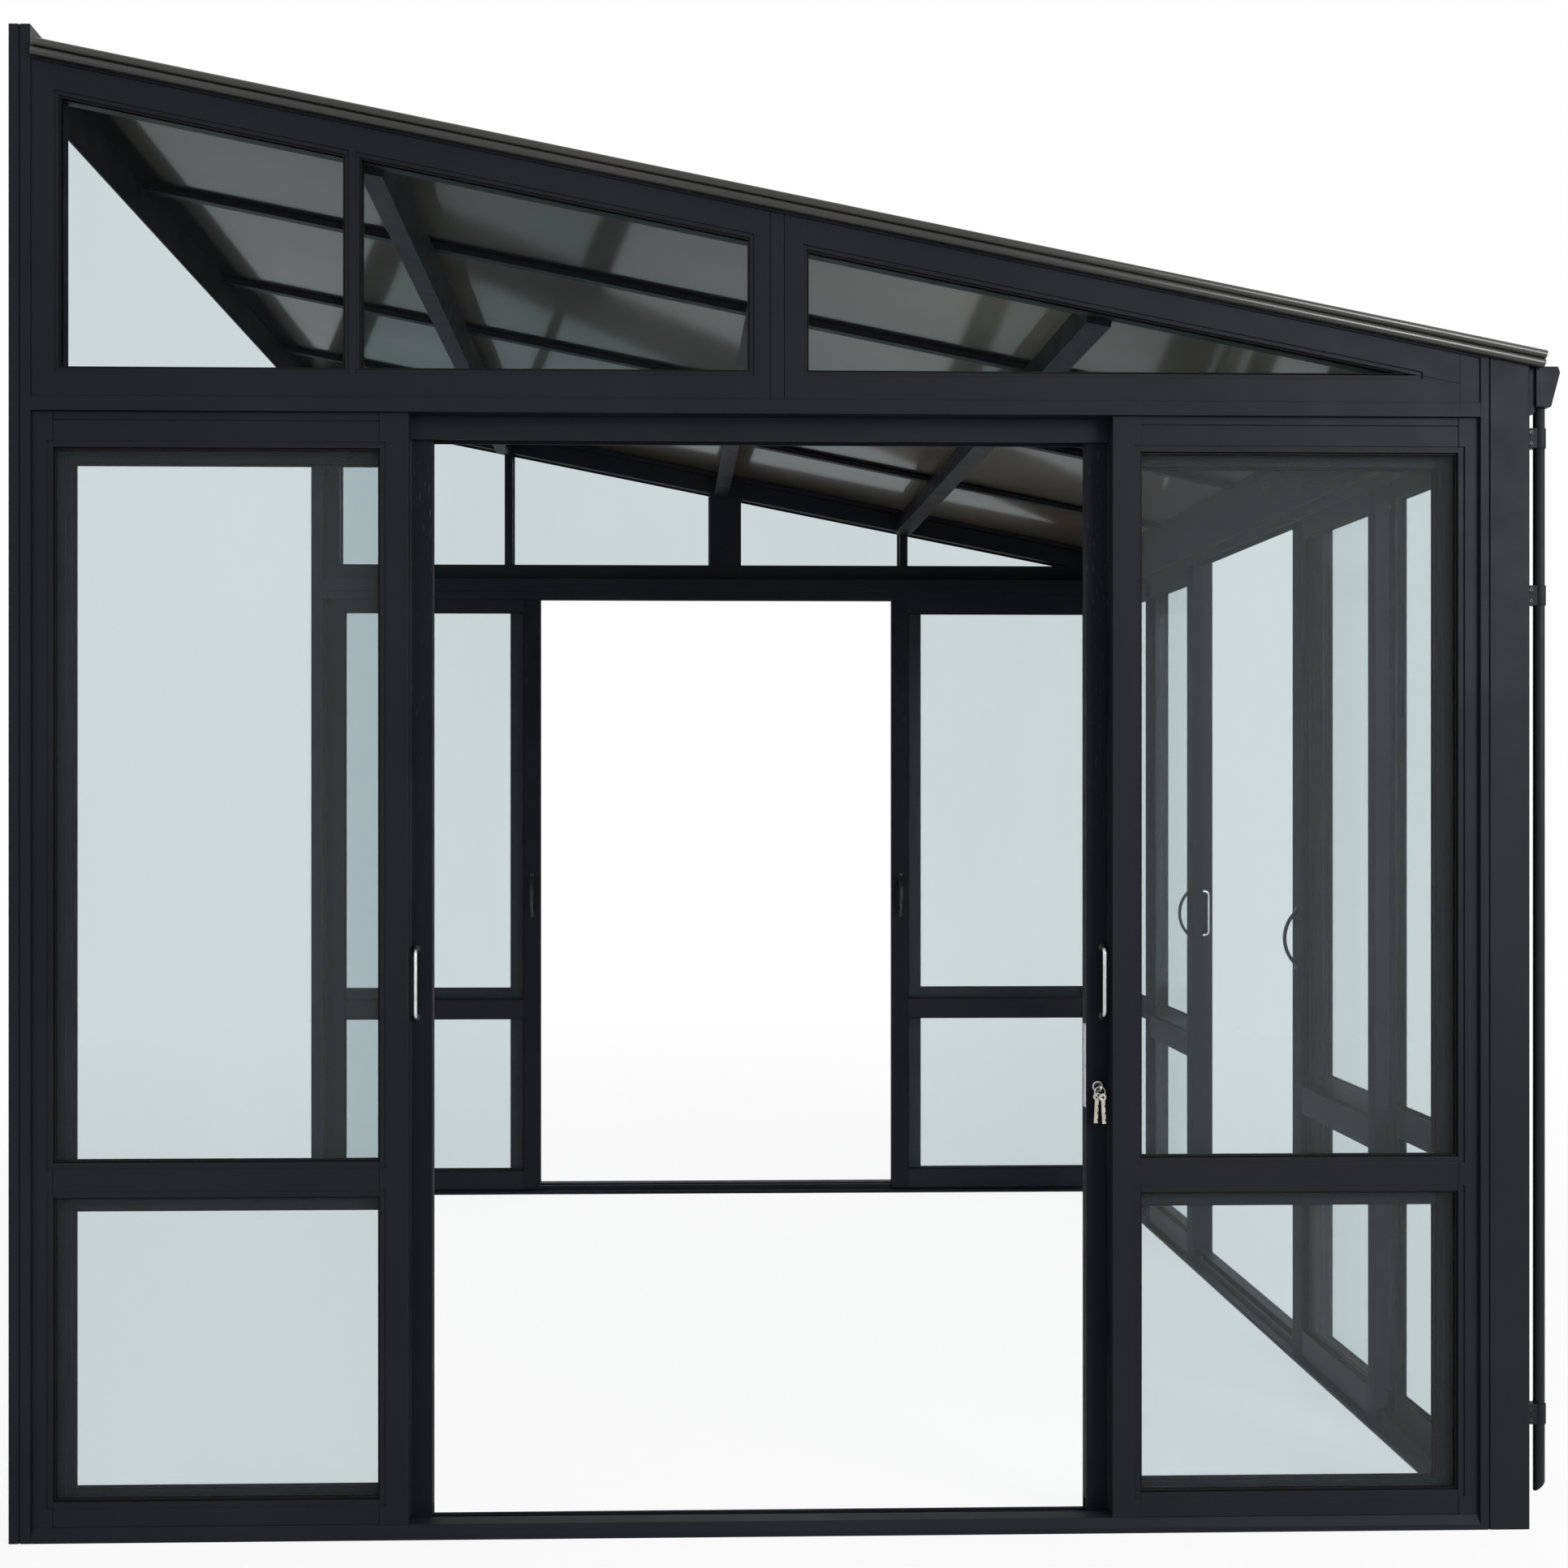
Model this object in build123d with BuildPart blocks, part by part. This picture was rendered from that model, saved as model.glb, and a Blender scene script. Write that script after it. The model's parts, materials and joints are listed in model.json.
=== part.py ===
from build123d import *
import math
import os

# Lean-to glass garden room: aluminium sections, sliding doors in three walls, tinted glass roof.
# Millimetres, +Z up. The origin is under the middle of the whole room, on the floor.
# The front gable faces -Y, the house side is -X and the eave with its gutter is +X.

os.makedirs("parts", exist_ok=True)

# Overall sizes
room_width = 3000.0
room_depth = 3000.0
eave_height = 2324.0
roof_rise = 597.0
wall_upstand = 44.0
section_depth = 100.0
overrun = 20.0

# Posts
wall_post_face = 42.0
post_groove = 3.0
post_groove_inset = 18.0
post_corner_radius = 5.0

# Door track sill: a sloped nose, a seat for the fixed panels and a rib for the rollers
sill_nose = 11.0
sill_seat = 28.0
sill_base = 10.0
sill_edge = 4.0
rib_width = 6.0
rib_top = 26.0

# Transom and eave head, with two legs that guide the tops of the doors
head_drop = 128.0
transom_height = 44.0
panel_rebate = 16.0
guide_leg = 3.0
guide_leg_drop = 30.0

# Fixed panels
panel_thickness = 32.0
fixed_face = 8.0
gable_fixed_share = 0.2565
outer_stile = 40.0
inner_stile = 56.0
eave_mullion = 48.0
bottom_rail = 48.0
mid_rail = 68.0
mid_rail_low = 672.0
top_rail = 54.0
rail_setback = 1.5
rail_line = 2.0

# Glazing: a stepped bead, a groove for the glass and the glass in it
bead_width = 12.0
bead_step = 3.0
groove_depth = 12.0
glass_bite = 10.0
wall_glass = 8.0

# Sliding doors
running_gap = 5.0
interlock = 60.0
meeting_gap = 6.0
door_show = 42.0
back_door_show = 54.0
door_lead_stile = 60.0
door_trail_stile = 41.0
door_bottom_rail = 66.0
door_mid_drop = 34.0
door_top_rail = 68.0
door_head_gap = 8.0
slot_height = 30.0
roller_radius = 11.0
roller_gap = 0.3
roller_inset = 110.0

# Door pulls and the lock
pull_height = 1087.0
pull_inset = 31.0
pull_length = 136.0
pull_reach = 30.0
pull_radius = 4.5
pull_bend = 13.0
bow_length = 150.0
bow_reach = 36.0
bow_thickness = 8.0
bow_foot = 16.0
bow_width = 10.0
lock_drop = 255.0
lock_length = 168.0
lock_plate_width = 22.0
lock_plate_thickness = 3.0
cylinder_drop = 211.0
cylinder_inset = 22.0
rose_radius = 11.0
rose_thickness = 3.0
cylinder_radius = 7.5
cylinder_reach = 9.0

# Gable glazing above the transom
gable_face = 3.0
gable_thickness = 60.0
gable_rail = 55.0
gable_left_stile = 53.0
gable_right_stile = 40.0
gable_mullion = 112.0
gable_bar = 28.0
gable_head = 58.0
mullion_share = 0.501
front_bar_shares = (0.222,)
back_bar_shares = (0.237, 0.720)
mullion_groove_shares = (0.35, 0.6)
gable_groove = 2.0
gable_bead = 8.0
gable_glass_face = 9.0

# Roof
purlin_width = 50.0
purlin_height = 70.0
purlin_shares = (0.236, 0.501, 0.723)
bar_width = 30.0
bar_height = 14.0
bar_web = 12.0
bar_cap_width = 50.0
bar_cap = 6.0
roof_bays = 4
roof_glass_thickness = 10.0
glass_edge_gap = 2.0
roof_overhang = 20.0

# Roof edge trim with two rounded ridges
trim_low = 10.0
trim_high = 25.0
trim_ridge = 14.0
trim_shoulder = 4.0
trim_cover = 40.0
trim_flange = 70.0
trim_overhang = 25.0
trim_start_gap = 4.0

# Ledger on the house side and its flashing
ledger_height = 143.0
ledger_toe = 4.0
ledger_splay = 46.0
flashing = 3.0
flashing_width = 50.0
flashing_upstand = 34.0

# Gutter, downpipe and clips
fascia_thickness = 14.0
fascia_drop = 92.0
gutter_width = 48.0
gutter_floor = 30.0
gutter_height = 80.0
gutter_lip = 12.0
gutter_lip_bevel = 4.0
gutter_wall = 2.5
gutter_gap = 10.0
gutter_end_inset = 4.0
pipe_radius = 11.0
pipe_wall = 1.5
pipe_inset = 24.0
pipe_foot = 68.0
clip_height = 40.0
clip_width = 20.0
clip_rim = 2.0
clip_gap = 0.3
clip_shares = (0.972, 0.827, 0.072)

# Places worked out from the sizes above
eave_post_face = section_depth
gutter_reach = fascia_thickness + gutter_width
x_wall = -(room_width + gutter_reach) / 2
x_eave = x_wall + room_width
y_front = -room_depth / 2
y_back = room_depth / 2
wall_height = eave_height + roof_rise
slope = roof_rise / room_width
pitch = math.atan(slope)
rafter_height = bar_height
head_height = eave_height - head_drop
panel_head = head_height + panel_rebate
transom_top = head_height + transom_height
gable_sill = transom_top + gable_rail
guide_outer = fixed_face + panel_thickness + guide_leg
door_face = guide_outer + guide_leg + running_gap
door_back = door_face + panel_thickness
door_middle = (door_face + door_back) / 2
guide_inner = door_back + running_gap
door_low = sill_base + running_gap
door_high = head_height - door_head_gap
lock_low = pull_height - lock_drop
cylinder_height = pull_height - cylinder_drop

# Wall planes: x runs along the wall, y goes up, and the normal points out of the room
front_wall = Plane(origin=(x_wall, y_front, 0), x_dir=(1, 0, 0), z_dir=(0, -1, 0))
back_wall = Plane(origin=(x_eave, y_back, 0), x_dir=(-1, 0, 0), z_dir=(0, 1, 0))
eave_wall = Plane(origin=(x_eave, y_front, 0), x_dir=(0, 1, 0), z_dir=(1, 0, 0))

eave_clear = room_depth - 2 * eave_post_face
eave_bays = 6
eave_fixed_bays = 2
eave_fixed_width = eave_clear * eave_fixed_bays / eave_bays
gable_fixed_width = (room_width - wall_post_face - eave_post_face) * gable_fixed_share

# Each wall: its plane, where its clear width starts and ends, the width and bays of a fixed side,
# and how far an open door shows past it
walls = {
    "front": (
        front_wall, wall_post_face, room_width - eave_post_face, gable_fixed_width, 1, door_show
    ),
    "back": (
        back_wall, eave_post_face, room_width - wall_post_face, gable_fixed_width, 1, back_door_show
    ),
    "eave": (
        eave_wall,
        eave_post_face,
        room_depth - eave_post_face,
        eave_fixed_width,
        eave_fixed_bays,
        door_show,
    ),
}


def roof_z(across):
    """Height of the roof line at a distance from the house side."""
    return wall_height - slope * across


def upright_face(wall, left, right, low, high, face):
    """A rectangle in a wall's elevation, set back from the wall's outer face."""
    with BuildSketch(wall.offset(-face)) as outline:
        with Locations(((left + right) / 2, (low + high) / 2)):
            Rectangle(right - left, high - low)
    return outline.sketch


def section_plane(wall, along):
    """A plane across a wall: x goes into the room, y goes up."""
    return Plane(origin=wall.from_local_coords((along, 0, 0)), x_dir=-wall.z_dir, z_dir=wall.x_dir)


def closed_face(plane, points):
    """A flat face with straight edges through the points."""
    with BuildSketch(plane) as outline:
        with BuildLine():
            Polyline(*points, close=True)
        make_face()
    return outline.sketch


def roof_strip(first, last, low, high, y):
    """A strip along the slope with plumb ends, seen from the front, in the plane at y."""
    low_rise = low / math.cos(pitch)
    high_rise = high / math.cos(pitch)
    points = (
        (x_wall + first, roof_z(first) + low_rise),
        (x_wall + last, roof_z(last) + low_rise),
        (x_wall + last, roof_z(last) + high_rise),
        (x_wall + first, roof_z(first) + high_rise),
    )
    return closed_face(Plane.XZ.offset(-y), points)


def fixed_uprights(start, end, width, bays):
    """Edges of the uprights of the two fixed sides of a wall, as two groups."""
    left_group = [(start, start + outer_stile)]
    for bay in range(1, bays):
        middle = start + width * bay / bays
        left_group.append((middle - eave_mullion / 2, middle + eave_mullion / 2))
    left_group.append((start + width - inner_stile, start + width))
    right_group = [(start + end - right, start + end - left) for left, right in reversed(left_group)]
    return left_group, right_group


def glass_columns(group):
    """The clear widths between neighbouring uprights."""
    return [(one[1], other[0]) for one, other in zip(group, group[1:])]


def glass_rows(rails):
    """The clear heights between neighbouring rails."""
    return [(one[1], other[0]) for one, other in zip(rails, rails[1:])]


def pane_face(wall, column, row, growth, face):
    """The outline of a pane, grown past its sight size on all four sides."""
    return upright_face(
        wall, column[0] - growth, column[1] + growth, row[0] - growth, row[1] + growth, face
    )


def door_edges(start, end, width, show, side):
    """The two upright edges of a sliding door that stands open, and which of them leads."""
    door_width = (end - start - meeting_gap) / 2 - width + interlock
    if side == "left":
        return start + width + show - door_width, start + width + show, 1
    return end - width - show, end - width - show + door_width, -1


fixed_rails = [
    (sill_seat, sill_seat + bottom_rail),
    (mid_rail_low, mid_rail_low + mid_rail),
    (head_height - top_rail, panel_head),
]
door_rails = [
    (door_low, door_low + door_bottom_rail),
    (mid_rail_low - door_mid_drop, mid_rail_low - door_mid_drop + mid_rail),
    (door_high - door_top_rail, door_high),
]
glass_setback = (panel_thickness - wall_glass) / 2


# Wall posts on the house side, with a grooved face, mirrored to the back
with BuildPart() as wall_posts:
    with BuildSketch() as wall_post_plan:
        with Locations((x_wall + wall_post_face / 2, y_front + section_depth / 2)):
            Rectangle(wall_post_face, section_depth)
        with Locations((x_wall + wall_post_face / 2, y_front)):
            Rectangle(post_groove, 2 * post_groove, mode=Mode.SUBTRACT)
    extrude(amount=wall_height + wall_upstand)
    mirror(about=Plane.XZ)
wall_posts.part.label = "wall_posts"
export_step(wall_posts.part, "parts/wall_posts.step")

# Corner posts at the eave, grooved on both outer faces and cut to the slope of the roof
with BuildPart() as eave_posts:
    with BuildSketch() as eave_post_plan:
        with Locations((x_eave - eave_post_face / 2, y_front + eave_post_face / 2)):
            Rectangle(eave_post_face, eave_post_face)
        fillet(eave_post_plan.vertices().sort_by(Axis.X)[-2:].sort_by(Axis.Y)[0], post_corner_radius)
        with Locations((x_eave - eave_post_face + post_groove_inset, y_front)):
            Rectangle(post_groove, 2 * post_groove, mode=Mode.SUBTRACT)
        with Locations((x_eave, y_front + eave_post_face - post_groove_inset)):
            Rectangle(2 * post_groove, post_groove, mode=Mode.SUBTRACT)
    extrude(amount=wall_height)
    roof_plane = Plane(
        origin=(x_wall, 0, wall_height),
        x_dir=(0, 1, 0),
        z_dir=(math.sin(pitch), 0, math.cos(pitch)),
    )
    split(bisect_by=roof_plane, keep=Keep.BOTTOM)
    mirror(about=Plane.XZ)
eave_posts.part.label = "eave_posts"
export_step(eave_posts.part, "parts/eave_posts.step")

# Track sills: sloped nose, seat for the fixed panels and a rib under the doors
sill_outline = (
    (0, 0),
    (0, sill_nose),
    (fixed_face, sill_seat),
    (guide_outer, sill_seat),
    (guide_outer, sill_base),
    (door_middle - rib_width / 2, sill_base),
    (door_middle - rib_width / 2, rib_top),
    (door_middle + rib_width / 2, rib_top),
    (door_middle + rib_width / 2, sill_base),
    (section_depth - sill_edge, sill_base),
    (section_depth, sill_base - sill_edge),
    (section_depth, 0),
)
for name, (wall, start, end, width, bays, show) in walls.items():
    with BuildPart() as sill:
        extrude(closed_face(section_plane(wall, start), sill_outline), amount=end - start)
    sill.part.label = f"{name}_track_sill"
    export_step(sill.part, f"parts/{name}_track_sill.step")

# Underside of a door head: a rebate over the fixed panels, then two legs with the door channel
head_outline = (
    (section_depth, head_height),
    (guide_inner + guide_leg, head_height),
    (guide_inner + guide_leg, head_height - guide_leg_drop),
    (guide_inner, head_height - guide_leg_drop),
    (guide_inner, head_height),
    (guide_outer + guide_leg, head_height),
    (guide_outer + guide_leg, head_height - guide_leg_drop),
    (guide_outer, head_height - guide_leg_drop),
    (guide_outer, panel_head),
    (0, panel_head),
)

# Gable transoms, front and back
with BuildPart() as transoms:
    transom_outline = ((0, transom_top), (section_depth, transom_top), *head_outline)
    extrude(
        closed_face(section_plane(front_wall, wall_post_face), transom_outline),
        amount=room_width - wall_post_face - eave_post_face,
    )
    mirror(about=Plane.XZ)
transoms.part.label = "gable_transoms"
export_step(transoms.part, "parts/gable_transoms.step")

# Eave beam: the same door channel below and the slope of the roof on top
with BuildPart() as eave_beam:
    beam_outline = (
        (0, roof_z(room_width)),
        (section_depth, roof_z(room_width - section_depth)),
        *head_outline,
    )
    extrude(closed_face(section_plane(eave_wall, eave_post_face), beam_outline), amount=eave_clear)
eave_beam.part.label = "eave_beam"
export_step(eave_beam.part, "parts/eave_beam.step")

# Fixed panels of each wall: uprights, rails and panes, with a bead step and a glazing groove
for name, (wall, start, end, width, bays, show) in walls.items():
    groups = fixed_uprights(start, end, width, bays)
    columns = [column for group in groups for column in glass_columns(group)]
    rows = glass_rows(fixed_rails)

    with BuildPart() as stiles:
        for group in groups:
            for left, right in group:
                extrude(
                    upright_face(wall, left, right, sill_seat, panel_head, fixed_face),
                    amount=-panel_thickness,
                )
        for column in columns:
            for row in rows:
                extrude(
                    pane_face(wall, column, row, bead_width, fixed_face),
                    amount=-bead_step,
                    mode=Mode.SUBTRACT,
                )
                extrude(
                    pane_face(wall, column, row, groove_depth, fixed_face + glass_setback),
                    amount=-wall_glass,
                    mode=Mode.SUBTRACT,
                )
    stiles.part.label = f"{name}_fixed_stiles"
    export_step(stiles.part, f"parts/{name}_fixed_stiles.step")

    with BuildPart() as rails:
        for left, right in columns:
            for low, high in fixed_rails:
                extrude(
                    upright_face(wall, left, right, low, high, fixed_face + rail_setback),
                    amount=-(panel_thickness - 2 * rail_setback),
                )
            extrude(
                upright_face(wall, left, right, head_height - rail_line, head_height, fixed_face),
                amount=-(rail_setback + rail_line),
                mode=Mode.SUBTRACT,
            )
        for column in columns:
            for row in rows:
                extrude(
                    pane_face(wall, column, row, bead_width, fixed_face),
                    amount=-bead_step,
                    mode=Mode.SUBTRACT,
                )
                extrude(
                    pane_face(wall, column, row, groove_depth, fixed_face + glass_setback),
                    amount=-wall_glass,
                    mode=Mode.SUBTRACT,
                )
    rails.part.label = f"{name}_fixed_rails"
    export_step(rails.part, f"parts/{name}_fixed_rails.step")

    with BuildPart() as glass:
        for column in columns:
            for row in rows:
                extrude(
                    pane_face(wall, column, row, glass_bite, fixed_face + glass_setback),
                    amount=-wall_glass,
                )
    glass.part.label = f"{name}_fixed_glass"
    export_step(glass.part, f"parts/{name}_fixed_glass.step")

# Sliding doors, all standing open: stiles, rails with rollers, panes and pulls
for name, (wall, start, end, width, bays, show) in walls.items():
    for side in ("left", "right"):
        door = f"{name}_{side}_door"
        left, right, lead = door_edges(start, end, width, show, side)
        leading_edge = right if lead > 0 else left
        if lead > 0:
            column = (left + door_trail_stile, right - door_lead_stile)
        else:
            column = (left + door_lead_stile, right - door_trail_stile)
        rows = glass_rows(door_rails)
        slot_width = rib_width + 2 * running_gap
        slot_face = door_middle - slot_width / 2
        slot = upright_face(
            wall, left - overrun, right + overrun, door_low - overrun, door_low + slot_height, slot_face
        )

        with BuildPart() as door_stiles:
            for low_edge, high_edge in ((left, column[0]), (column[1], right)):
                extrude(
                    upright_face(wall, low_edge, high_edge, door_low, door_high, door_face),
                    amount=-panel_thickness,
                )
            extrude(slot, amount=-slot_width, mode=Mode.SUBTRACT)
            for row in rows:
                extrude(
                    pane_face(wall, column, row, bead_width, door_face),
                    amount=-bead_step,
                    mode=Mode.SUBTRACT,
                )
                extrude(
                    pane_face(wall, column, row, groove_depth, door_face + glass_setback),
                    amount=-wall_glass,
                    mode=Mode.SUBTRACT,
                )
            if door == "front_right_door":
                extrude(
                    upright_face(
                        wall,
                        leading_edge,
                        leading_edge + lock_plate_thickness,
                        lock_low,
                        lock_low + lock_length,
                        door_middle - lock_plate_width / 2,
                    ),
                    amount=-lock_plate_width,
                    mode=Mode.SUBTRACT,
                )
        door_stiles.part.label = f"{door}_stiles"
        export_step(door_stiles.part, f"parts/{door}_stiles.step")

        with BuildPart() as rails:
            for low, high in door_rails:
                extrude(
                    upright_face(wall, column[0], column[1], low, high, door_face + rail_setback),
                    amount=-(panel_thickness - 2 * rail_setback),
                )
            extrude(slot, amount=-slot_width, mode=Mode.SUBTRACT)
            for row in rows:
                extrude(
                    pane_face(wall, column, row, bead_width, door_face),
                    amount=-bead_step,
                    mode=Mode.SUBTRACT,
                )
                extrude(
                    pane_face(wall, column, row, groove_depth, door_face + glass_setback),
                    amount=-wall_glass,
                    mode=Mode.SUBTRACT,
                )
            with BuildSketch(wall.offset(-(door_middle - rib_width / 2))):
                roller_height = rib_top + roller_gap + roller_radius
                with Locations((left + roller_inset, roller_height), (right - roller_inset, roller_height)):
                    Circle(roller_radius)
            extrude(amount=-rib_width)
        rails.part.label = f"{door}_rails"
        export_step(rails.part, f"parts/{door}_rails.step")

        with BuildPart() as glass:
            for row in rows:
                extrude(
                    pane_face(wall, column, row, glass_bite, door_face + glass_setback),
                    amount=-wall_glass,
                )
        glass.part.label = f"{door}_glass"
        export_step(glass.part, f"parts/{door}_glass.step")

        # A round bar pull outside and a flat bow pull inside
        pull_along = leading_edge - lead * pull_inset
        pull_low = pull_height - pull_length / 2
        pull_plane = Plane(
            origin=wall.from_local_coords((pull_along, pull_low, -door_face)),
            x_dir=wall.z_dir,
            z_dir=-wall.x_dir,
        )
        bow_plane = Plane(
            origin=wall.from_local_coords((pull_along, pull_height, -door_back)),
            x_dir=-wall.z_dir,
            z_dir=wall.x_dir,
        )
        with BuildPart() as pulls:
            with BuildLine(pull_plane) as pull_path:
                FilletPolyline(
                    (0, 0),
                    (pull_reach - pull_radius, 0),
                    (pull_reach - pull_radius, pull_length),
                    (0, pull_length),
                    radius=pull_bend,
                )
            with BuildSketch(Plane(origin=pull_plane.origin, z_dir=wall.z_dir)):
                Circle(pull_radius)
            sweep()
            with BuildSketch(bow_plane.offset(-bow_width / 2)):
                with BuildLine():
                    ThreePointArc((0, -bow_length / 2), (bow_reach, 0), (0, bow_length / 2))
                    Line((0, bow_length / 2), (0, bow_length / 2 - bow_foot))
                    ThreePointArc(
                        (0, bow_length / 2 - bow_foot),
                        (bow_reach - bow_thickness, 0),
                        (0, bow_foot - bow_length / 2),
                    )
                    Line((0, bow_foot - bow_length / 2), (0, -bow_length / 2))
                make_face()
            extrude(amount=bow_width)
        pulls.part.label = f"{door}_pulls"
        export_step(pulls.part, f"parts/{door}_pulls.step")

# Lock of the front right door: a plate in its leading edge, a rose and a cylinder on its face
wall, start, end, width, bays, show = walls["front"]
left, right, lead = door_edges(start, end, width, show, "right")
with BuildPart() as lock:
    extrude(
        upright_face(
            wall,
            left,
            left + lock_plate_thickness,
            lock_low,
            lock_low + lock_length,
            door_middle - lock_plate_width / 2,
        ),
        amount=-lock_plate_width,
    )
    with BuildSketch(wall.offset(-door_face)):
        with Locations((left + cylinder_inset, cylinder_height)):
            Circle(rose_radius)
    extrude(amount=rose_thickness)
    with BuildSketch(wall.offset(-door_face)):
        with Locations((left + cylinder_inset, cylinder_height)):
            Circle(cylinder_radius)
    extrude(amount=cylinder_reach)
lock.part.label = "front_right_door_lock"
export_step(lock.part, "parts/front_right_door_lock.step")

# Gable framing: uprights from the transom to the rafter
mullion_left = room_width * mullion_share - gable_mullion / 2
mullion_right = mullion_left + gable_mullion
gable_left = wall_post_face + gable_left_stile
gable_right = room_width - eave_post_face - gable_right_stile
head_rise = (rafter_height + gable_head) / math.cos(pitch)
rafter_rise = rafter_height / math.cos(pitch)
gable_tip = (wall_height - head_rise - gable_sill) / slope


def gable_bars(shares):
    """Edges of the thin bars of a gable, from the house side."""
    return [(room_width * share - gable_bar / 2, room_width * share + gable_bar / 2) for share in shares]


def plumb_face(left, right, low, drop, y):
    """An upright's outline that ends at a drop below the sloping roof line."""
    points = (
        (x_wall + left, low),
        (x_wall + right, low),
        (x_wall + right, roof_z(right) - drop),
        (x_wall + left, roof_z(left) - drop),
    )
    return closed_face(Plane.XZ.offset(-y), points)


def gable_pane(first, last, growth, y):
    """A pane between two uprights, grown past its sight size, below the sloping head."""
    left = first - growth
    right = min(last, gable_tip) + growth
    lift = growth / math.cos(pitch) - head_rise
    points = (
        (x_wall + left, gable_sill - growth),
        (x_wall + right, gable_sill - growth),
        (x_wall + right, roof_z(right) + lift),
        (x_wall + left, roof_z(left) + lift),
    )
    return closed_face(Plane.XZ.offset(-y), points)


def gable_edges(bars):
    """The clear widths between the uprights of a gable."""
    uprights = sorted([*bars, (mullion_left, mullion_right)])
    starts = [gable_left, *(last for first, last in uprights)]
    ends = [*(first for first, last in uprights), gable_right]
    return list(zip(starts, ends))


gable_sides = (
    (y_front + gable_face, -gable_thickness, gable_bars(front_bar_shares)),
    (y_back - gable_face, gable_thickness, gable_bars(back_bar_shares)),
)

with BuildPart() as gable_stiles:
    for y, reach, bars in gable_sides:
        main_uprights = (
            (wall_post_face, gable_left),
            (mullion_left, mullion_right),
            (gable_right, room_width - eave_post_face),
        )
        for first, last in main_uprights:
            extrude(plumb_face(first, last, transom_top, rafter_rise, y), amount=reach)
        for share in mullion_groove_shares:
            middle = mullion_left + gable_mullion * share
            extrude(
                plumb_face(middle - gable_groove / 2, middle + gable_groove / 2, transom_top, 0, y),
                amount=math.copysign(gable_groove, reach),
                mode=Mode.SUBTRACT,
            )
        for first, last in bars:
            extrude(plumb_face(first, last, gable_sill, head_rise, y), amount=reach)
        direction = math.copysign(1, reach)
        for first, last in gable_edges(bars):
            extrude(
                gable_pane(first, last, gable_bead, y),
                amount=direction * bead_step,
                mode=Mode.SUBTRACT,
            )
            extrude(
                gable_pane(first, last, groove_depth, y - direction * gable_glass_face),
                amount=direction * wall_glass,
                mode=Mode.SUBTRACT,
            )
gable_stiles.part.label = "gable_stiles"
export_step(gable_stiles.part, "parts/gable_stiles.step")

# Sloping heads of the gable frames, under the rafters
head_spans = ((gable_left, mullion_left), (mullion_right, gable_right))
with BuildPart() as gable_heads:
    for y, reach, bars in gable_sides:
        for first, last in head_spans:
            extrude(
                roof_strip(first, last, -rafter_height - gable_head, -rafter_height, y), amount=reach
            )
        direction = math.copysign(1, reach)
        for first, last in gable_edges(bars):
            extrude(
                gable_pane(first, last, gable_bead, y),
                amount=direction * bead_step,
                mode=Mode.SUBTRACT,
            )
            extrude(
                gable_pane(first, last, groove_depth, y - direction * gable_glass_face),
                amount=direction * wall_glass,
                mode=Mode.SUBTRACT,
            )
gable_heads.part.label = "gable_heads"
export_step(gable_heads.part, "parts/gable_heads.step")

# Bottom rails of the gable frames, cut where the sloping head comes down to them
with BuildPart() as gable_rails:
    for y, reach, bars in gable_sides:
        for first, last in head_spans:
            rail_points = (
                (x_wall + first, transom_top),
                (x_wall + last, transom_top),
                (x_wall + last, gable_sill),
                (x_wall + first, gable_sill),
            )
            extrude(closed_face(Plane.XZ.offset(-y), rail_points), amount=reach)
            extrude(
                roof_strip(first, last, -rafter_height - gable_head, overrun, y),
                amount=reach,
                mode=Mode.SUBTRACT,
            )
        direction = math.copysign(1, reach)
        for first, last in gable_edges(bars):
            extrude(
                gable_pane(first, last, gable_bead, y),
                amount=direction * bead_step,
                mode=Mode.SUBTRACT,
            )
            extrude(
                gable_pane(first, last, groove_depth, y - direction * gable_glass_face),
                amount=direction * wall_glass,
                mode=Mode.SUBTRACT,
            )
gable_rails.part.label = "gable_rails"
export_step(gable_rails.part, "parts/gable_rails.step")

# Gable panes between the uprights, from the bottom rail to the sloping head
with BuildPart() as gable_glass:
    for y, reach, bars in gable_sides:
        direction = math.copysign(1, reach)
        for first, last in gable_edges(bars):
            extrude(
                gable_pane(first, last, glass_bite, y - direction * gable_glass_face),
                amount=direction * wall_glass,
            )
gable_glass.part.label = "gable_glass"
export_step(gable_glass.part, "parts/gable_glass.step")

# Rafters along the two gables
with BuildPart() as rafters:
    extrude(
        roof_strip(wall_post_face, room_width - eave_post_face, -rafter_height, 0, y_front),
        amount=-section_depth,
    )
    mirror(about=Plane.XZ)
rafters.part.label = "gable_rafters"
export_step(rafters.part, "parts/gable_rafters.step")

# Ledger on the house side, between the wall posts, its underside splayed
ledger_top = wall_height + wall_upstand
ledger_low = ledger_top - ledger_height
with BuildPart() as ledger:
    ledger_points = (
        (x_wall, ledger_top),
        (x_wall, ledger_low + ledger_splay),
        (x_wall + wall_post_face - ledger_toe, ledger_low),
        (x_wall + wall_post_face, ledger_low),
        (x_wall + wall_post_face, ledger_top),
    )
    extrude(
        closed_face(Plane.XZ.offset(-(y_back - section_depth)), ledger_points),
        amount=room_depth - 2 * section_depth,
    )
ledger.part.label = "wall_ledger"
export_step(ledger.part, "parts/wall_ledger.step")

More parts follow.
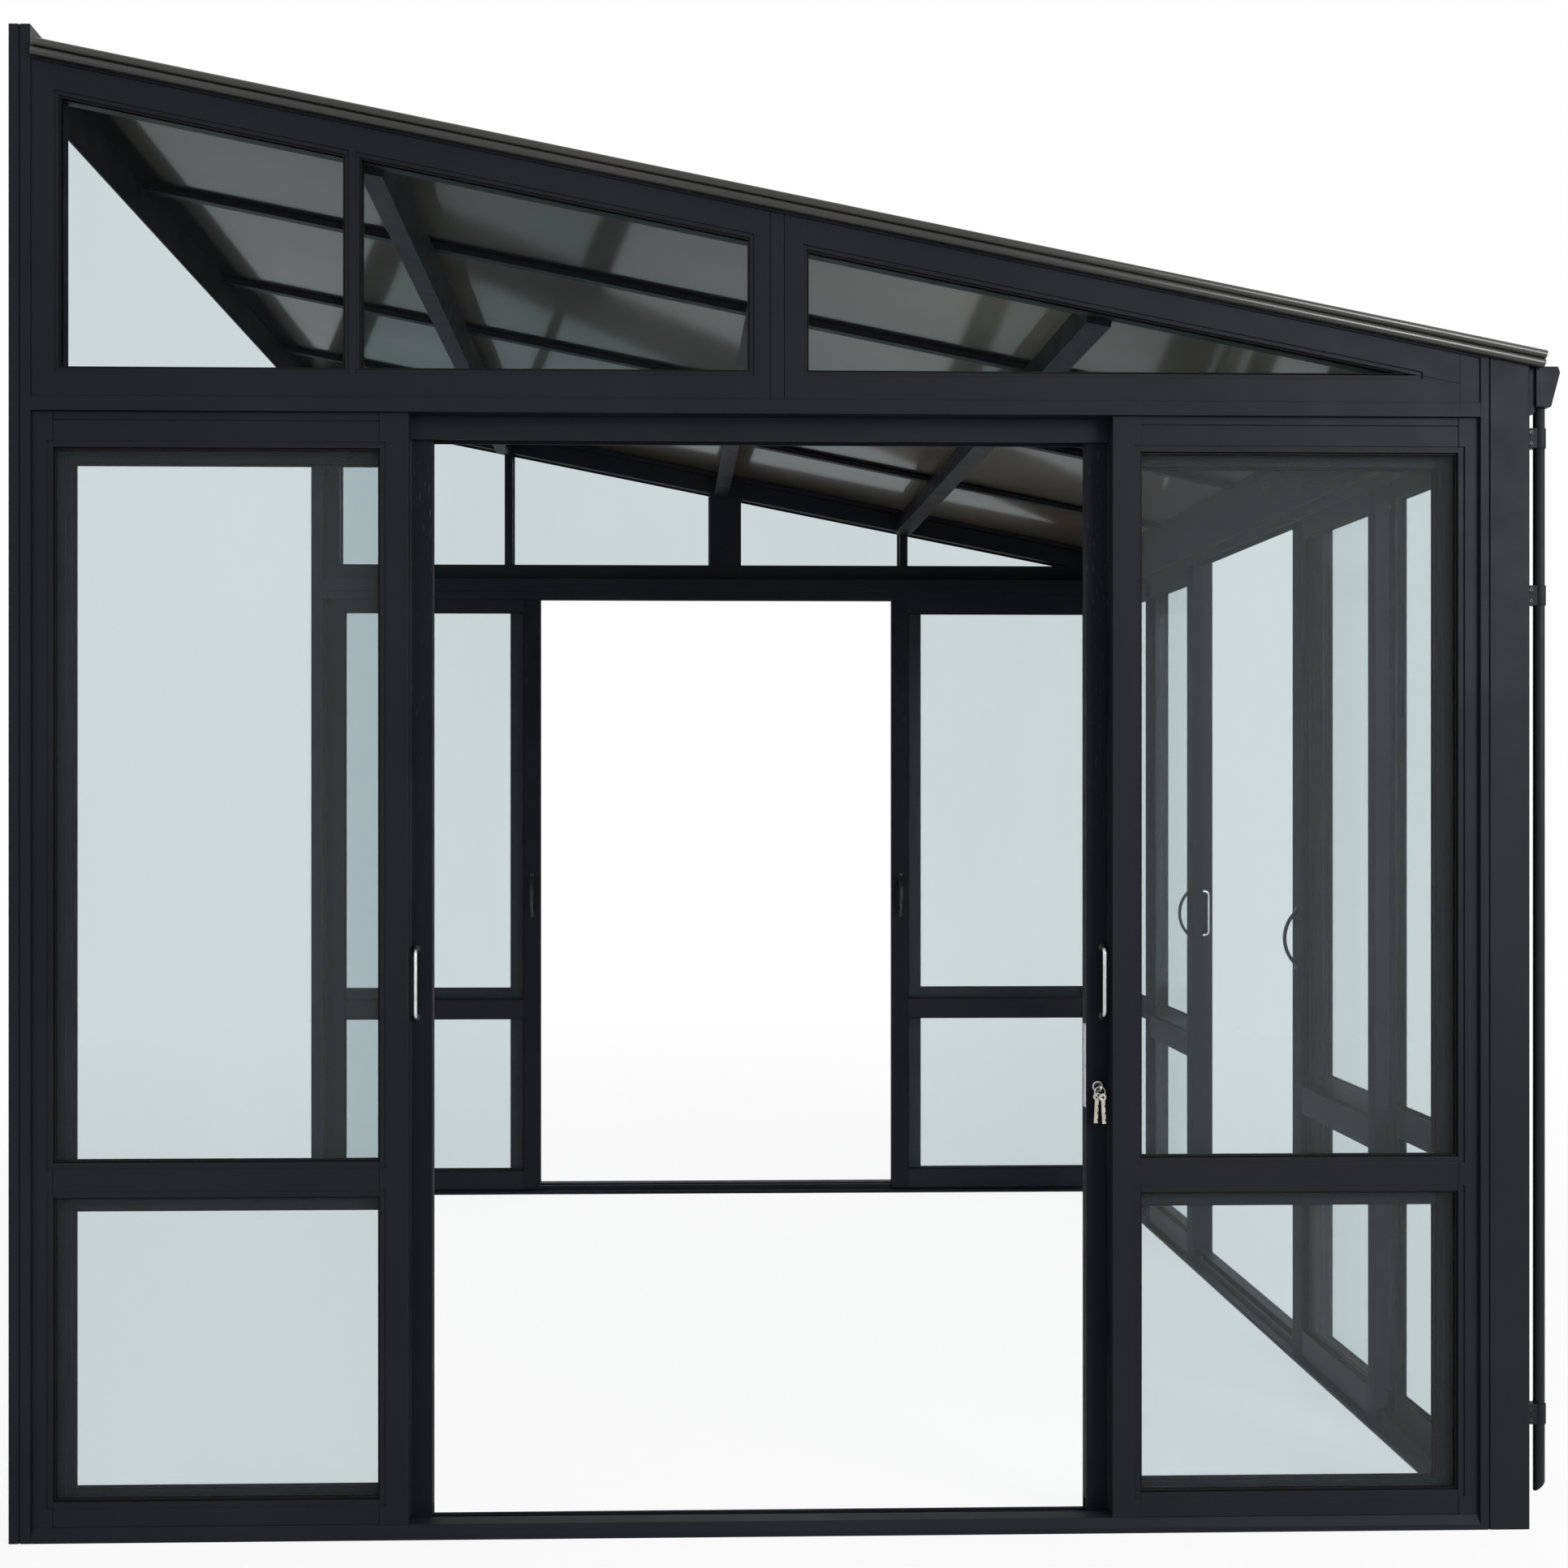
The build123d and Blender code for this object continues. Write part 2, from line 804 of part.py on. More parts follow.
# Purlins from gable to gable, square to the slope
purlin_reach = room_depth - 2 * (gable_face + gable_thickness)
slope_direction = (math.cos(pitch), 0, -math.sin(pitch))
with BuildPart() as purlins:
    for share in purlin_shares:
        across = room_width * share
        purlin_plane = Plane(
            origin=(x_wall + across, purlin_reach / 2, roof_z(across)),
            x_dir=slope_direction,
            z_dir=(0, -1, 0),
        )
        with BuildSketch(purlin_plane):
            with Locations((0, -bar_height - purlin_height / 2)):
                Rectangle(purlin_width, purlin_height)
        extrude(amount=purlin_reach)
purlins.part.label = "roof_purlins"
export_step(purlins.part, "parts/roof_purlins.step")

# Roof bars down the slope: a box under the glass, a web between panes and a cap on top
bar_places = [y_front + room_depth * bay / roof_bays for bay in range(1, roof_bays)]
bar_end = room_width - eave_post_face
glass_end = room_width + roof_overhang
with BuildPart() as roof_bars:
    for place in bar_places:
        extrude(
            roof_strip(wall_post_face, bar_end, -bar_height, 0, place - bar_width / 2),
            amount=-bar_width,
        )
        extrude(
            roof_strip(wall_post_face, glass_end, 0, roof_glass_thickness, place - bar_web / 2),
            amount=-bar_web,
        )
        extrude(
            roof_strip(
                wall_post_face,
                glass_end,
                roof_glass_thickness,
                roof_glass_thickness + bar_cap,
                place - bar_cap_width / 2,
            ),
            amount=-bar_cap_width,
        )
roof_bars.part.label = "roof_bars"
export_step(roof_bars.part, "parts/roof_bars.step")

# Tinted roof panes between the bars
with BuildPart() as roof_glass:
    pane_edges = [y_front + trim_cover + glass_edge_gap]
    for place in bar_places:
        pane_edges.extend((place - bar_web / 2 - glass_edge_gap, place + bar_web / 2 + glass_edge_gap))
    pane_edges.append(y_back - trim_cover - glass_edge_gap)
    for near, far in zip(pane_edges[0::2], pane_edges[1::2]):
        extrude(
            roof_strip(wall_post_face + glass_edge_gap, glass_end, 0, roof_glass_thickness, near),
            amount=near - far,
        )
roof_glass.part.label = "roof_glass"
export_step(roof_glass.part, "parts/roof_glass.step")

# Roof edge trim along both gables: two rounded ridges in front and a flange over the glass
trim_middle = (trim_high - trim_low) / 2
trim_start = (wall_post_face + trim_start_gap) / math.cos(pitch)
trim_end = (room_width + trim_overhang) / math.cos(pitch)
trim_plane = Plane(
    origin=(x_wall, y_front, wall_height), x_dir=(0, 1, 0), z_dir=slope_direction
).offset(trim_start)
with BuildPart() as roof_trim:
    with BuildSketch(trim_plane):
        with BuildLine():
            Line((0, -trim_low), (-trim_shoulder, -trim_low))
            ThreePointArc(
                (-trim_shoulder, -trim_low),
                (-trim_ridge, (trim_middle - trim_low) / 2),
                (-trim_shoulder, trim_middle),
            )
            ThreePointArc(
                (-trim_shoulder, trim_middle),
                (-trim_ridge, (trim_middle + trim_high) / 2),
                (-trim_shoulder, trim_high),
            )
            Polyline(
                (-trim_shoulder, trim_high),
                (trim_cover, trim_high),
                (trim_cover, roof_glass_thickness + bar_cap),
                (trim_flange, roof_glass_thickness + bar_cap),
                (trim_flange, roof_glass_thickness),
                (trim_cover, roof_glass_thickness),
                (trim_cover, 0),
                (0, 0),
                (0, -trim_low),
            )
        make_face()
    extrude(amount=trim_end - trim_start)
    mirror(about=Plane.XZ)
roof_trim.part.label = "roof_edge_trim"
export_step(roof_trim.part, "parts/roof_edge_trim.step")

# Bent flashing between the ledger and the roof glass
flashing_base = (roof_glass_thickness + bar_cap) / math.cos(pitch)
flashing_rise = flashing / math.cos(pitch)
flashing_end = wall_post_face + flashing_width
with BuildPart() as wall_flashing:
    flashing_y = y_front + trim_flange + glass_edge_gap
    flashing_points = (
        (x_wall + wall_post_face, roof_z(wall_post_face) + flashing_base),
        (x_wall + flashing_end, roof_z(flashing_end) + flashing_base),
        (x_wall + flashing_end, roof_z(flashing_end) + flashing_base + flashing_rise),
        (x_wall + wall_post_face + flashing, roof_z(wall_post_face) + flashing_base + flashing_rise),
        (x_wall + wall_post_face + flashing, roof_z(wall_post_face) + flashing_upstand),
        (x_wall + wall_post_face, roof_z(wall_post_face) + flashing_upstand),
    )
    extrude(closed_face(Plane.XZ.offset(-flashing_y), flashing_points), amount=2 * flashing_y)
wall_flashing.part.label = "wall_flashing"
export_step(wall_flashing.part, "parts/wall_flashing.step")

# Fascia behind the gutter
fascia_top = roof_z(room_width) - gutter_gap
fascia_length = room_depth - 2 * gutter_gap
with BuildPart() as fascia:
    with BuildSketch(Plane.XZ.offset(-fascia_length / 2)):
        with Locations((x_eave + fascia_thickness / 2, fascia_top - fascia_drop / 2)):
            Rectangle(fascia_thickness, fascia_drop)
    extrude(amount=fascia_length)
fascia.part.label = "gutter_fascia"
export_step(fascia.part, "parts/gutter_fascia.step")

# Gutter: a bevelled trough with closed ends and an outlet over the downpipe
gutter_back = x_eave + fascia_thickness
gutter_low = fascia_top - gutter_height
gutter_length = room_depth - 2 * gutter_end_inset
pipe_x = gutter_back + gutter_floor / 2
pipe_y = y_front + pipe_inset
with BuildPart() as gutter:
    outer_points = (
        (gutter_back, fascia_top),
        (gutter_back, gutter_low),
        (gutter_back + gutter_floor, gutter_low),
        (gutter_back + gutter_width, fascia_top - gutter_lip),
        (gutter_back + gutter_width - gutter_lip_bevel, fascia_top),
    )
    extrude(closed_face(Plane.XZ.offset(-gutter_length / 2), outer_points), amount=gutter_length)
    inner_length = gutter_length - 2 * gutter_wall
    inner_points = (
        (gutter_back + gutter_wall, fascia_top + overrun),
        (gutter_back + gutter_wall, gutter_low + gutter_wall),
        (gutter_back + gutter_floor - gutter_wall, gutter_low + gutter_wall),
        (gutter_back + gutter_width - 2 * gutter_wall, fascia_top - gutter_lip),
        (gutter_back + gutter_width - gutter_lip_bevel - gutter_wall, fascia_top),
        (gutter_back + gutter_width - gutter_lip_bevel - gutter_wall, fascia_top + overrun),
    )
    extrude(
        closed_face(Plane.XZ.offset(-inner_length / 2), inner_points),
        amount=inner_length,
        mode=Mode.SUBTRACT,
    )
    with BuildSketch(Plane.XY.offset(gutter_low)):
        with Locations((pipe_x, pipe_y)):
            Circle(pipe_radius - pipe_wall)
    extrude(amount=gutter_wall, mode=Mode.SUBTRACT)
gutter.part.label = "gutter"
export_step(gutter.part, "parts/gutter.step")

# Downpipe under the outlet, its foot cut on the slant
with BuildPart() as downpipe:
    with BuildSketch(Plane.XY.offset(pipe_foot)):
        with Locations((pipe_x, pipe_y)):
            Circle(pipe_radius)
            Circle(pipe_radius - pipe_wall, mode=Mode.SUBTRACT)
    extrude(amount=gutter_low - pipe_foot)
    foot_plane = Plane(
        origin=(pipe_x, pipe_y, pipe_foot + pipe_radius), x_dir=(0, 1, 0), z_dir=(1, 0, 1)
    )
    split(bisect_by=foot_plane, keep=Keep.TOP)
downpipe.part.label = "downpipe"
export_step(downpipe.part, "parts/downpipe.step")

# Clips that hold the downpipe to the front corner post
with BuildPart() as clips:
    clip_reach = pipe_x - x_eave
    for share in clip_shares:
        clip_middle = pipe_foot + (gutter_low - pipe_foot) * share
        with BuildSketch(Plane.XY.offset(clip_middle - clip_height / 2)):
            with Locations((x_eave + clip_reach / 2, pipe_y)):
                Rectangle(clip_reach, clip_width)
            with Locations((pipe_x, pipe_y)):
                Circle(pipe_radius + clip_rim)
                Circle(pipe_radius + clip_gap, mode=Mode.SUBTRACT)
        extrude(amount=clip_height)
clips.part.label = "pipe_clips"
export_step(clips.part, "parts/pipe_clips.step")
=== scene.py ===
"""Looks of a lean-to glass garden room: finishes for the CAD nodes and the fine pieces around them.

Metres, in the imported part's frame: +Z up, the front gable faces -Y, the house side is -X.
"""

import json
import logging
import math
from collections.abc import Callable
from dataclasses import dataclass
from enum import Enum

import bmesh
import bpy
from mathutils import Matrix, Vector


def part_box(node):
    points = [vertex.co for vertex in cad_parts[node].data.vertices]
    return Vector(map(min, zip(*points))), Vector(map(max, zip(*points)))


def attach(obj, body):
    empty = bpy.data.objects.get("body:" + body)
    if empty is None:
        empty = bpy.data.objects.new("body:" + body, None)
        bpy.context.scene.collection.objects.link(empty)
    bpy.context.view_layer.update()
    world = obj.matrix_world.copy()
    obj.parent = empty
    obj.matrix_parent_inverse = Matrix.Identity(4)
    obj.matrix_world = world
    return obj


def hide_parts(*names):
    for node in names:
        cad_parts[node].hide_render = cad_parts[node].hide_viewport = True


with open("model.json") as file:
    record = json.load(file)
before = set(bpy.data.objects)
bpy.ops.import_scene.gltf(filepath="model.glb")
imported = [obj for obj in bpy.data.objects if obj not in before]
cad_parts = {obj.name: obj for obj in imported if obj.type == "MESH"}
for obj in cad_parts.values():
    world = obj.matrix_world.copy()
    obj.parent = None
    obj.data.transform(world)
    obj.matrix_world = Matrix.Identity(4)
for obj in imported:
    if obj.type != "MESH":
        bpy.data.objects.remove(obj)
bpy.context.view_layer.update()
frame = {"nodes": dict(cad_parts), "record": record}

log = logging.getLogger("garden_room")

Colour = tuple[float, float, float]
Point = tuple[float, float, float]
Range = tuple[float, float]
Material = bpy.types.Material
Node = bpy.types.Node
Piece = bpy.types.Object
Socket = bpy.types.NodeSocket

RIGHT = Vector((1.0, 0.0, 0.0))
FRONT = Vector((0.0, -1.0, 0.0))
UP = Vector((0.0, 0.0, 1.0))
SIDES = (-1.0, 1.0)
QUARTER = math.pi / 2
WHITE = (1.0, 1.0, 1.0, 1.0)
# The part of a noise pattern's range that a blend spreads over
PATCHES = (0.35, 0.7)
# Points of one solid that lie closer than this are the same point
WELD = 0.00002
# A face points along a direction when the cosine between them is above this
FACING = 0.9
RING_SIDES = 28
RING_EDGE_SHARE = 0.25
# Steps of a rounding that shows as a curve
ROUND_STEPS = 3


@dataclass(frozen=True)
class Grain:
    """A noise pattern: its waves per metre, its octaves and, if it is drawn out, its scale on each axis."""

    waves: float
    octaves: float
    stretch: Point | None = None


class NodeDesk:
    """Adds and links the nodes of one material or world."""

    def __init__(self, tree: bpy.types.NodeTree) -> None:
        """Starts with the emptied tree of a material or world."""
        self.tree = tree
        tree.nodes.clear()

    def add(self, kind: str, inputs: dict | None = None, **settings: str) -> Node:
        """Adds a node, sets its properties, then fills or links its inputs.

        Args:
            kind: The node's type name.
            inputs: Values or output sockets by input name or number.
            settings: Properties of the node.

        Returns:
            The new node.
        """
        node = self.tree.nodes.new(kind)
        for name, value in settings.items():
            setattr(node, name, value)
        for key, value in (inputs or {}).items():
            if isinstance(value, Socket):
                self.tree.links.new(value, node.inputs[key])
            else:
                node.inputs[key].default_value = value
        return node

    def place(self) -> Socket:
        """Returns the object coordinates, which are the part's own frame."""
        return self.add("ShaderNodeTexCoord").outputs["Object"]

    def noise(self, where: Socket, grain: Grain) -> Socket:
        """Adds a noise texture.

        Args:
            where: The coordinates it reads.
            grain: Its pattern.

        Returns:
            Its grey output.
        """
        if grain.stretch:
            where = self.add("ShaderNodeMapping", {"Vector": where, "Scale": grain.stretch}).outputs["Vector"]
        inputs = {"Vector": where, "Scale": grain.waves, "Detail": grain.octaves}
        return self.add("ShaderNodeTexNoise", inputs).outputs["Fac"]

    def ramp(self, value: Socket, window: Range = PATCHES, result: Range = (0.0, 1.0)) -> Socket:
        """Maps a value from one range to another, held at both ends.

        Args:
            value: The socket to map.
            window: The input range.
            result: What the two ends of the window become.

        Returns:
            The mapped value.
        """
        low, high = window
        start, end = result
        made = self.add(
            "ShaderNodeMapRange",
            {"Value": value, "From Min": low, "From Max": high, "To Min": start, "To Max": end},
        )
        return made.outputs["Result"]

    def blend(self, share: Socket, first: Colour | Socket, second: Colour) -> Socket:
        """Mixes two colours.

        Args:
            share: How much of the second colour shows.
            first: The colour, or a socket, at share 0.
            second: The colour at share 1.

        Returns:
            The mixed colour.
        """
        below = first if isinstance(first, Socket) else (*first, 1.0)
        # The Mix node's colours are its inputs 6 and 7 and its output 2
        made = self.add("ShaderNodeMix", {0: share, 6: below, 7: (*second, 1.0)}, data_type="RGBA")
        return made.outputs[2]

    def combine(self, operation: str, first: Socket, second: Socket) -> Socket:
        """Combines two values by what the Math node calls the operation."""
        return self.add("ShaderNodeMath", {0: first, 1: second}, operation=operation).outputs[0]

    def height_of(self, vector: Socket) -> Socket:
        """Returns the Z part of a vector."""
        return self.add("ShaderNodeSeparateXYZ", {"Vector": vector}).outputs["Z"]

    def bump(self, height: Socket, strength: float, depth: float) -> Socket:
        """Adds a bump of a depth in metres and returns the bumped normal."""
        made = self.add("ShaderNodeBump", {"Height": height, "Strength": strength, "Distance": depth})
        return made.outputs["Normal"]

    def seen(self) -> Socket:
        """Makes a switch for what is looked at.

        Returns:
            1 where something is seen straight, mirrored or through glass.
        """
        path = self.add("ShaderNodeLightPath").outputs
        mirrored = self.combine("MAXIMUM", path["Is Camera Ray"], path["Is Glossy Ray"])
        return self.combine("MAXIMUM", mirrored, path["Is Transmission Ray"])

    def mix(self, share: Socket, first: Node, second: Node) -> Node:
        """Mixes two shaders, the first at share 0 and the second at share 1."""
        return self.add("ShaderNodeMixShader", {0: share, 1: first.outputs[0], 2: second.outputs[0]})


class MaterialDesk(NodeDesk):
    """The desk of one new material."""

    def __init__(self, name: str) -> None:
        """Makes an empty node material.

        Args:
            name: Its name.
        """
        self.material = bpy.data.materials.new(name)
        self.material.use_nodes = True
        super().__init__(self.material.node_tree)

    def close(self, shader: Node) -> Material:
        """Links the last shader to the output and returns the finished material."""
        self.add("ShaderNodeOutputMaterial", {"Surface": shader.outputs[0]})
        return self.material


@dataclass(frozen=True)
class PowderCoat:
    """Satin powder coat: two near-black tints, a fine peel, dust on what faces up, and upright scuffs."""

    name: str
    colour: Colour = (0.0088, 0.0101, 0.0140)
    faded: Colour = (0.0122, 0.0136, 0.0176)
    roughness: float = 0.5
    roughness_spread: Range = (-0.05, 0.07)
    specular: float = 0.1
    cloud: Grain = Grain(2.3, 5.0)
    cloud_window: Range = (0.35, 0.68)
    grime: Grain = Grain(17.0, 6.0)
    grime_window: Range = (0.3, 0.75)
    peel: Grain = Grain(420.0, 2.0)
    peel_depth: float = 0.00025
    peel_strength: float = 0.25
    dust: Colour = (0.07, 0.07, 0.068)
    dust_share: float = 0.12
    dust_least: float = 0.2
    dust_slope: Range = (0.75, 1.0)
    scuff: Colour = (0.12, 0.12, 0.12)
    scuff_share: float = 0.0
    scuff_least: float = 0.1
    scuff_streak: Grain = Grain(620.0, 2.0, (1.0, 1.0, 0.045))
    scuff_window: Range = (0.68, 0.74)
    scuff_heights: Range = (1.2, 1.9)

    def scuffed(self, desk: NodeDesk, where: Socket, paint: Socket) -> Socket:
        """Adds short pale upright scuffs that grow denser with height.

        Args:
            desk: Where the nodes go.
            where: The coordinates.
            paint: The colour below the scuffs.

        Returns:
            The scuffed colour.
        """
        streak = desk.ramp(desk.noise(where, self.scuff_streak), self.scuff_window, (0.0, self.scuff_share))
        rising = desk.ramp(desk.height_of(where), self.scuff_heights, (self.scuff_least, 1.0))
        return desk.blend(desk.combine("MULTIPLY", streak, rising), paint, self.scuff)

    def make(self) -> Material:
        """Builds the nodes.

        Returns:
            The finished material.
        """
        desk = MaterialDesk(self.name)
        where = desk.place()
        grime = desk.noise(where, self.grime)
        clouded = desk.ramp(desk.noise(where, self.cloud), self.cloud_window)
        normal = desk.add("ShaderNodeNewGeometry").outputs["Normal"]
        facing_up = desk.ramp(desk.height_of(normal), self.dust_slope, (0.0, self.dust_share))
        patchy = desk.ramp(grime, result=(self.dust_least, 1.0))
        paint = desk.blend(clouded, self.colour, self.faded)
        colour = desk.blend(desk.combine("MULTIPLY", facing_up, patchy), paint, self.dust)
        if self.scuff_share > 0.0:
            colour = self.scuffed(desk, where, colour)
        gloss = tuple(self.roughness + change for change in self.roughness_spread)
        shader = desk.add(
            "ShaderNodeBsdfPrincipled",
            {
                "Base Color": colour,
                "Roughness": desk.ramp(grime, self.grime_window, gloss),
                "Specular IOR Level": self.specular,
                "Normal": desk.bump(desk.noise(where, self.peel), self.peel_strength, self.peel_depth),
            },
        )
        return desk.close(shader)


@dataclass(frozen=True)
class PaneGlass:
    """Toughened or laminated glass with a slight tint, a faint film of wiped dust and a polish."""

    name: str
    tint: Colour
    cleaner_tint: Colour
    ior: float = 1.05
    dust: float = 0.010
    roughness: float = 0.0
    polish: float = 0.0
    polish_roughness: float = 0.08
    wipe: Grain = Grain(2.1, 4.0, (1.0, 1.0, 0.35))

    def make(self) -> Material:
        """Builds the nodes.

        Returns:
            The finished material.
        """
        desk = MaterialDesk(self.name)
        wiped = desk.ramp(desk.noise(desk.place(), self.wipe))
        shader = desk.add(
            "ShaderNodeBsdfPrincipled",
            {
                "Base Color": desk.blend(wiped, self.tint, self.cleaner_tint),
                "Roughness": self.roughness,
                "IOR": self.ior,
                "Transmission Weight": 1.0 - self.dust,
                "Coat Weight": self.polish,
                "Coat Roughness": self.polish_roughness,
            },
        )
        passed = tuple(math.sqrt(share) for share in self.tint)
        clear = desk.add("ShaderNodeBsdfTransparent", {"Color": (*passed, 1.0)})
        shadow = desk.add("ShaderNodeLightPath").outputs["Is Shadow Ray"]
        return desk.close(desk.mix(shadow, shader, clear))


@dataclass(frozen=True)
class SatinMetal:
    """Bare or plated metal with fine scratches along its length."""

    name: str
    colour: Colour
    worn: Colour
    roughness: float = 0.3
    roughness_spread: Range = (-0.06, 0.08)
    brush: Grain = Grain(2600.0, 2.0, (1.0, 1.0, 0.04))
    brush_window: Range = (0.3, 0.7)
    brush_strength: float = 0.08
    brush_depth: float = 0.0001
    patch: Grain = Grain(60.0, 4.0)

    def make(self) -> Material:
        """Builds the nodes.

        Returns:
            The finished material.
        """
        desk = MaterialDesk(self.name)
        where = desk.place()
        brush = desk.noise(where, self.brush)
        patch = desk.ramp(desk.noise(where, self.patch))
        gloss = tuple(self.roughness + change for change in self.roughness_spread)
        shader = desk.add(
            "ShaderNodeBsdfPrincipled",
            {
                "Base Color": desk.blend(patch, self.colour, self.worn),
                "Metallic": 1.0,
                "Roughness": desk.ramp(brush, self.brush_window, gloss),
                "Normal": desk.bump(brush, self.brush_strength, self.brush_depth),
            },
        )
        return desk.close(shader)


class Finish(Enum):
    """The finishes of the garden room."""

    COAT = PowderCoat("frame_powder_coat")
    TRIM = PowderCoat(
        "roof_trim_coat", (0.016, 0.0155, 0.0145), (0.026, 0.025, 0.0235), roughness=0.3, specular=0.5
    )
    DOOR_COAT = PowderCoat("door_powder_coat", roughness=0.62, specular=0.05, scuff_share=0.5)
    WALL_GLASS = PaneGlass("clear_wall_glass", (0.775, 0.82, 0.83), (0.79, 0.833, 0.842))
    EAVE_GLASS = PaneGlass("clear_eave_glass", (0.90, 0.925, 0.93), (0.92, 0.94, 0.945))
    GABLE_GLASS = PaneGlass("clear_gable_glass", (0.595, 0.665, 0.68), (0.615, 0.685, 0.70), dust=0.002)
    ROOF_GLASS = PaneGlass(
        "smoked_roof_glass", (0.022, 0.019, 0.014), (0.042, 0.036, 0.027), ior=1.1, dust=0.0,
        roughness=0.29, polish=0.5
    )
    RUBBER = PowderCoat(
        "black_glazing_rubber", (0.004, 0.004, 0.0042), (0.0065, 0.0065, 0.0068), roughness=0.6, specular=0.1
    )
    PILE = PowderCoat(
        "grey_seal_pile", (0.009, 0.0095, 0.011), (0.04, 0.04, 0.041), roughness=0.9, specular=0.05,
        peel=Grain(900.0, 2.0)
    )
    BLACK = PowderCoat(
        "black_inner_pull", (0.006, 0.006, 0.0065), (0.01, 0.01, 0.0108), roughness=0.3, specular=0.4
    )
    SILVER = SatinMetal("satin_silver_pull", (0.62, 0.62, 0.63), (0.5, 0.5, 0.51))
    LOCK = SatinMetal("satin_lock_steel", (0.55, 0.55, 0.56), (0.42, 0.42, 0.43))
    SCREW = SatinMetal("plated_screw", (0.5, 0.5, 0.51), (0.36, 0.36, 0.37), 0.25)
    KEY = SatinMetal("nickel_key", (0.56, 0.53, 0.46), (0.42, 0.39, 0.33), 0.24)


class Wardrobe:
    """Makes each finish once and puts it on objects."""

    def __init__(self) -> None:
        """Starts with nothing made."""
        self.made: dict[Finish, Material] = {}

    def dress(self, piece: Piece, finish: Finish) -> None:
        """Gives an object one finish all over.

        Args:
            piece: The object.
            finish: Its finish, whose material is made at its first use.
        """
        if finish not in self.made:
            self.made[finish] = finish.value.make()
        piece.data.materials.clear()
        piece.data.materials.append(self.made[finish])


# Modelling moves that the pieces share


def deselect() -> None:
    """Deselects everything, so that an operator acts only on what comes next."""
    bpy.ops.object.select_all(action="DESELECT")


def open_all() -> None:
    """Goes into edit mode with the whole active piece selected."""
    bpy.ops.object.mode_set(mode="EDIT")
    bpy.ops.mesh.select_all(action="SELECT")


def shut() -> None:
    """Goes back to object mode."""
    bpy.ops.object.mode_set(mode="OBJECT")


def push(way: Vector) -> None:
    """Extrudes what is selected by a distance."""
    bpy.ops.mesh.extrude_region_move(TRANSFORM_OT_translate={"value": way})


def rename(piece: Piece, name: str) -> Piece:
    """Names a piece and its mesh, and returns the piece."""
    piece.name = piece.data.name = name
    return piece


def take(name: str) -> Piece:
    """Fixes the place of the primitive that was just added in its mesh, and returns it named."""
    bpy.ops.object.transform_apply(location=True, rotation=True, scale=True)
    return rename(bpy.context.active_object, name)


def block(name: str, low: Vector, high: Vector) -> Piece:
    """Adds a block between two corners.

    Args:
        name: The piece's name.
        low: Its lowest corner.
        high: Its highest corner.

    Returns:
        The block.
    """
    deselect()
    bpy.ops.mesh.primitive_cube_add(size=1.0, location=(low + high) / 2, scale=high - low)
    return take(name)


def disc(name: str, foot: Vector, along: Vector, radius: float, depth: float, sides: int) -> Piece:
    """Adds a round disc that starts at a point and grows along a direction.

    Args:
        name: The piece's name.
        foot: The middle of its foot.
        along: The direction it grows in.
        radius: Its radius.
        depth: Its thickness.
        sides: Its number of sides.

    Returns:
        The disc.
    """
    deselect()
    turn = along.to_track_quat("Z", "Y").to_euler()
    bpy.ops.mesh.primitive_cylinder_add(
        vertices=sides, radius=radius, depth=depth, location=foot + along * depth / 2, rotation=turn
    )
    return take(name)


def ring(name: str, foot: Vector, along: Vector, radius: float, hole: float, depth: float) -> Piece:
    """Models a flat ring or a tube from a disc with a hole through it.

    Args:
        name: Its name.
        foot: The middle of its foot.
        along: The direction of its thickness.
        radius: Its radius.
        hole: The radius of its hole.
        depth: Its thickness.

    Returns:
        The ring.
    """
    piece = disc(name, foot, along, radius, depth, RING_SIDES)
    pierce(piece, along, radius - hole)
    soften(piece, min(depth, radius - hole) * RING_EDGE_SHARE)
    return piece


def pick(piece: Piece, test: Callable[[Vector, Vector], bool]) -> None:
    """Selects faces of the active piece in edit mode.

    Args:
        piece: The piece.
        test: Says from a face's middle and normal whether it is wanted.
    """
    bpy.ops.mesh.select_mode(type="FACE")
    bpy.ops.mesh.select_all(action="DESELECT")
    mesh = bmesh.from_edit_mesh(piece.data)
    for face in mesh.faces:
        face.select_set(test(face.calc_center_median(), face.normal))
    bmesh.update_edit_mesh(piece.data)


def pierce(piece: Piece, along: Vector, rim: float) -> None:
    """Opens the active piece right through and leaves a rim.

    Args:
        piece: The piece.
        along: The direction of the hole.
        rim: How wide the rim is.
    """
    bpy.ops.object.mode_set(mode="EDIT")
    pick(piece, lambda middle, normal: abs(normal.dot(along)) > FACING)
    bpy.ops.mesh.inset(thickness=rim, depth=0.0)
    bpy.ops.mesh.bridge_edge_loops()
    shut()


def recess(piece: Piece, out: Vector, rim: float, depth: float) -> None:
    """Sinks the middle of one face of the active piece.

    Args:
        piece: The piece.
        out: Where the face points.
        rim: How wide the rim is that stays.
        depth: How far the middle goes in.
    """
    bpy.ops.object.mode_set(mode="EDIT")
    pick(piece, lambda middle, normal: normal.dot(out) > FACING)
    bpy.ops.mesh.inset(thickness=rim, depth=0.0)
    push(out * -depth)
    shut()


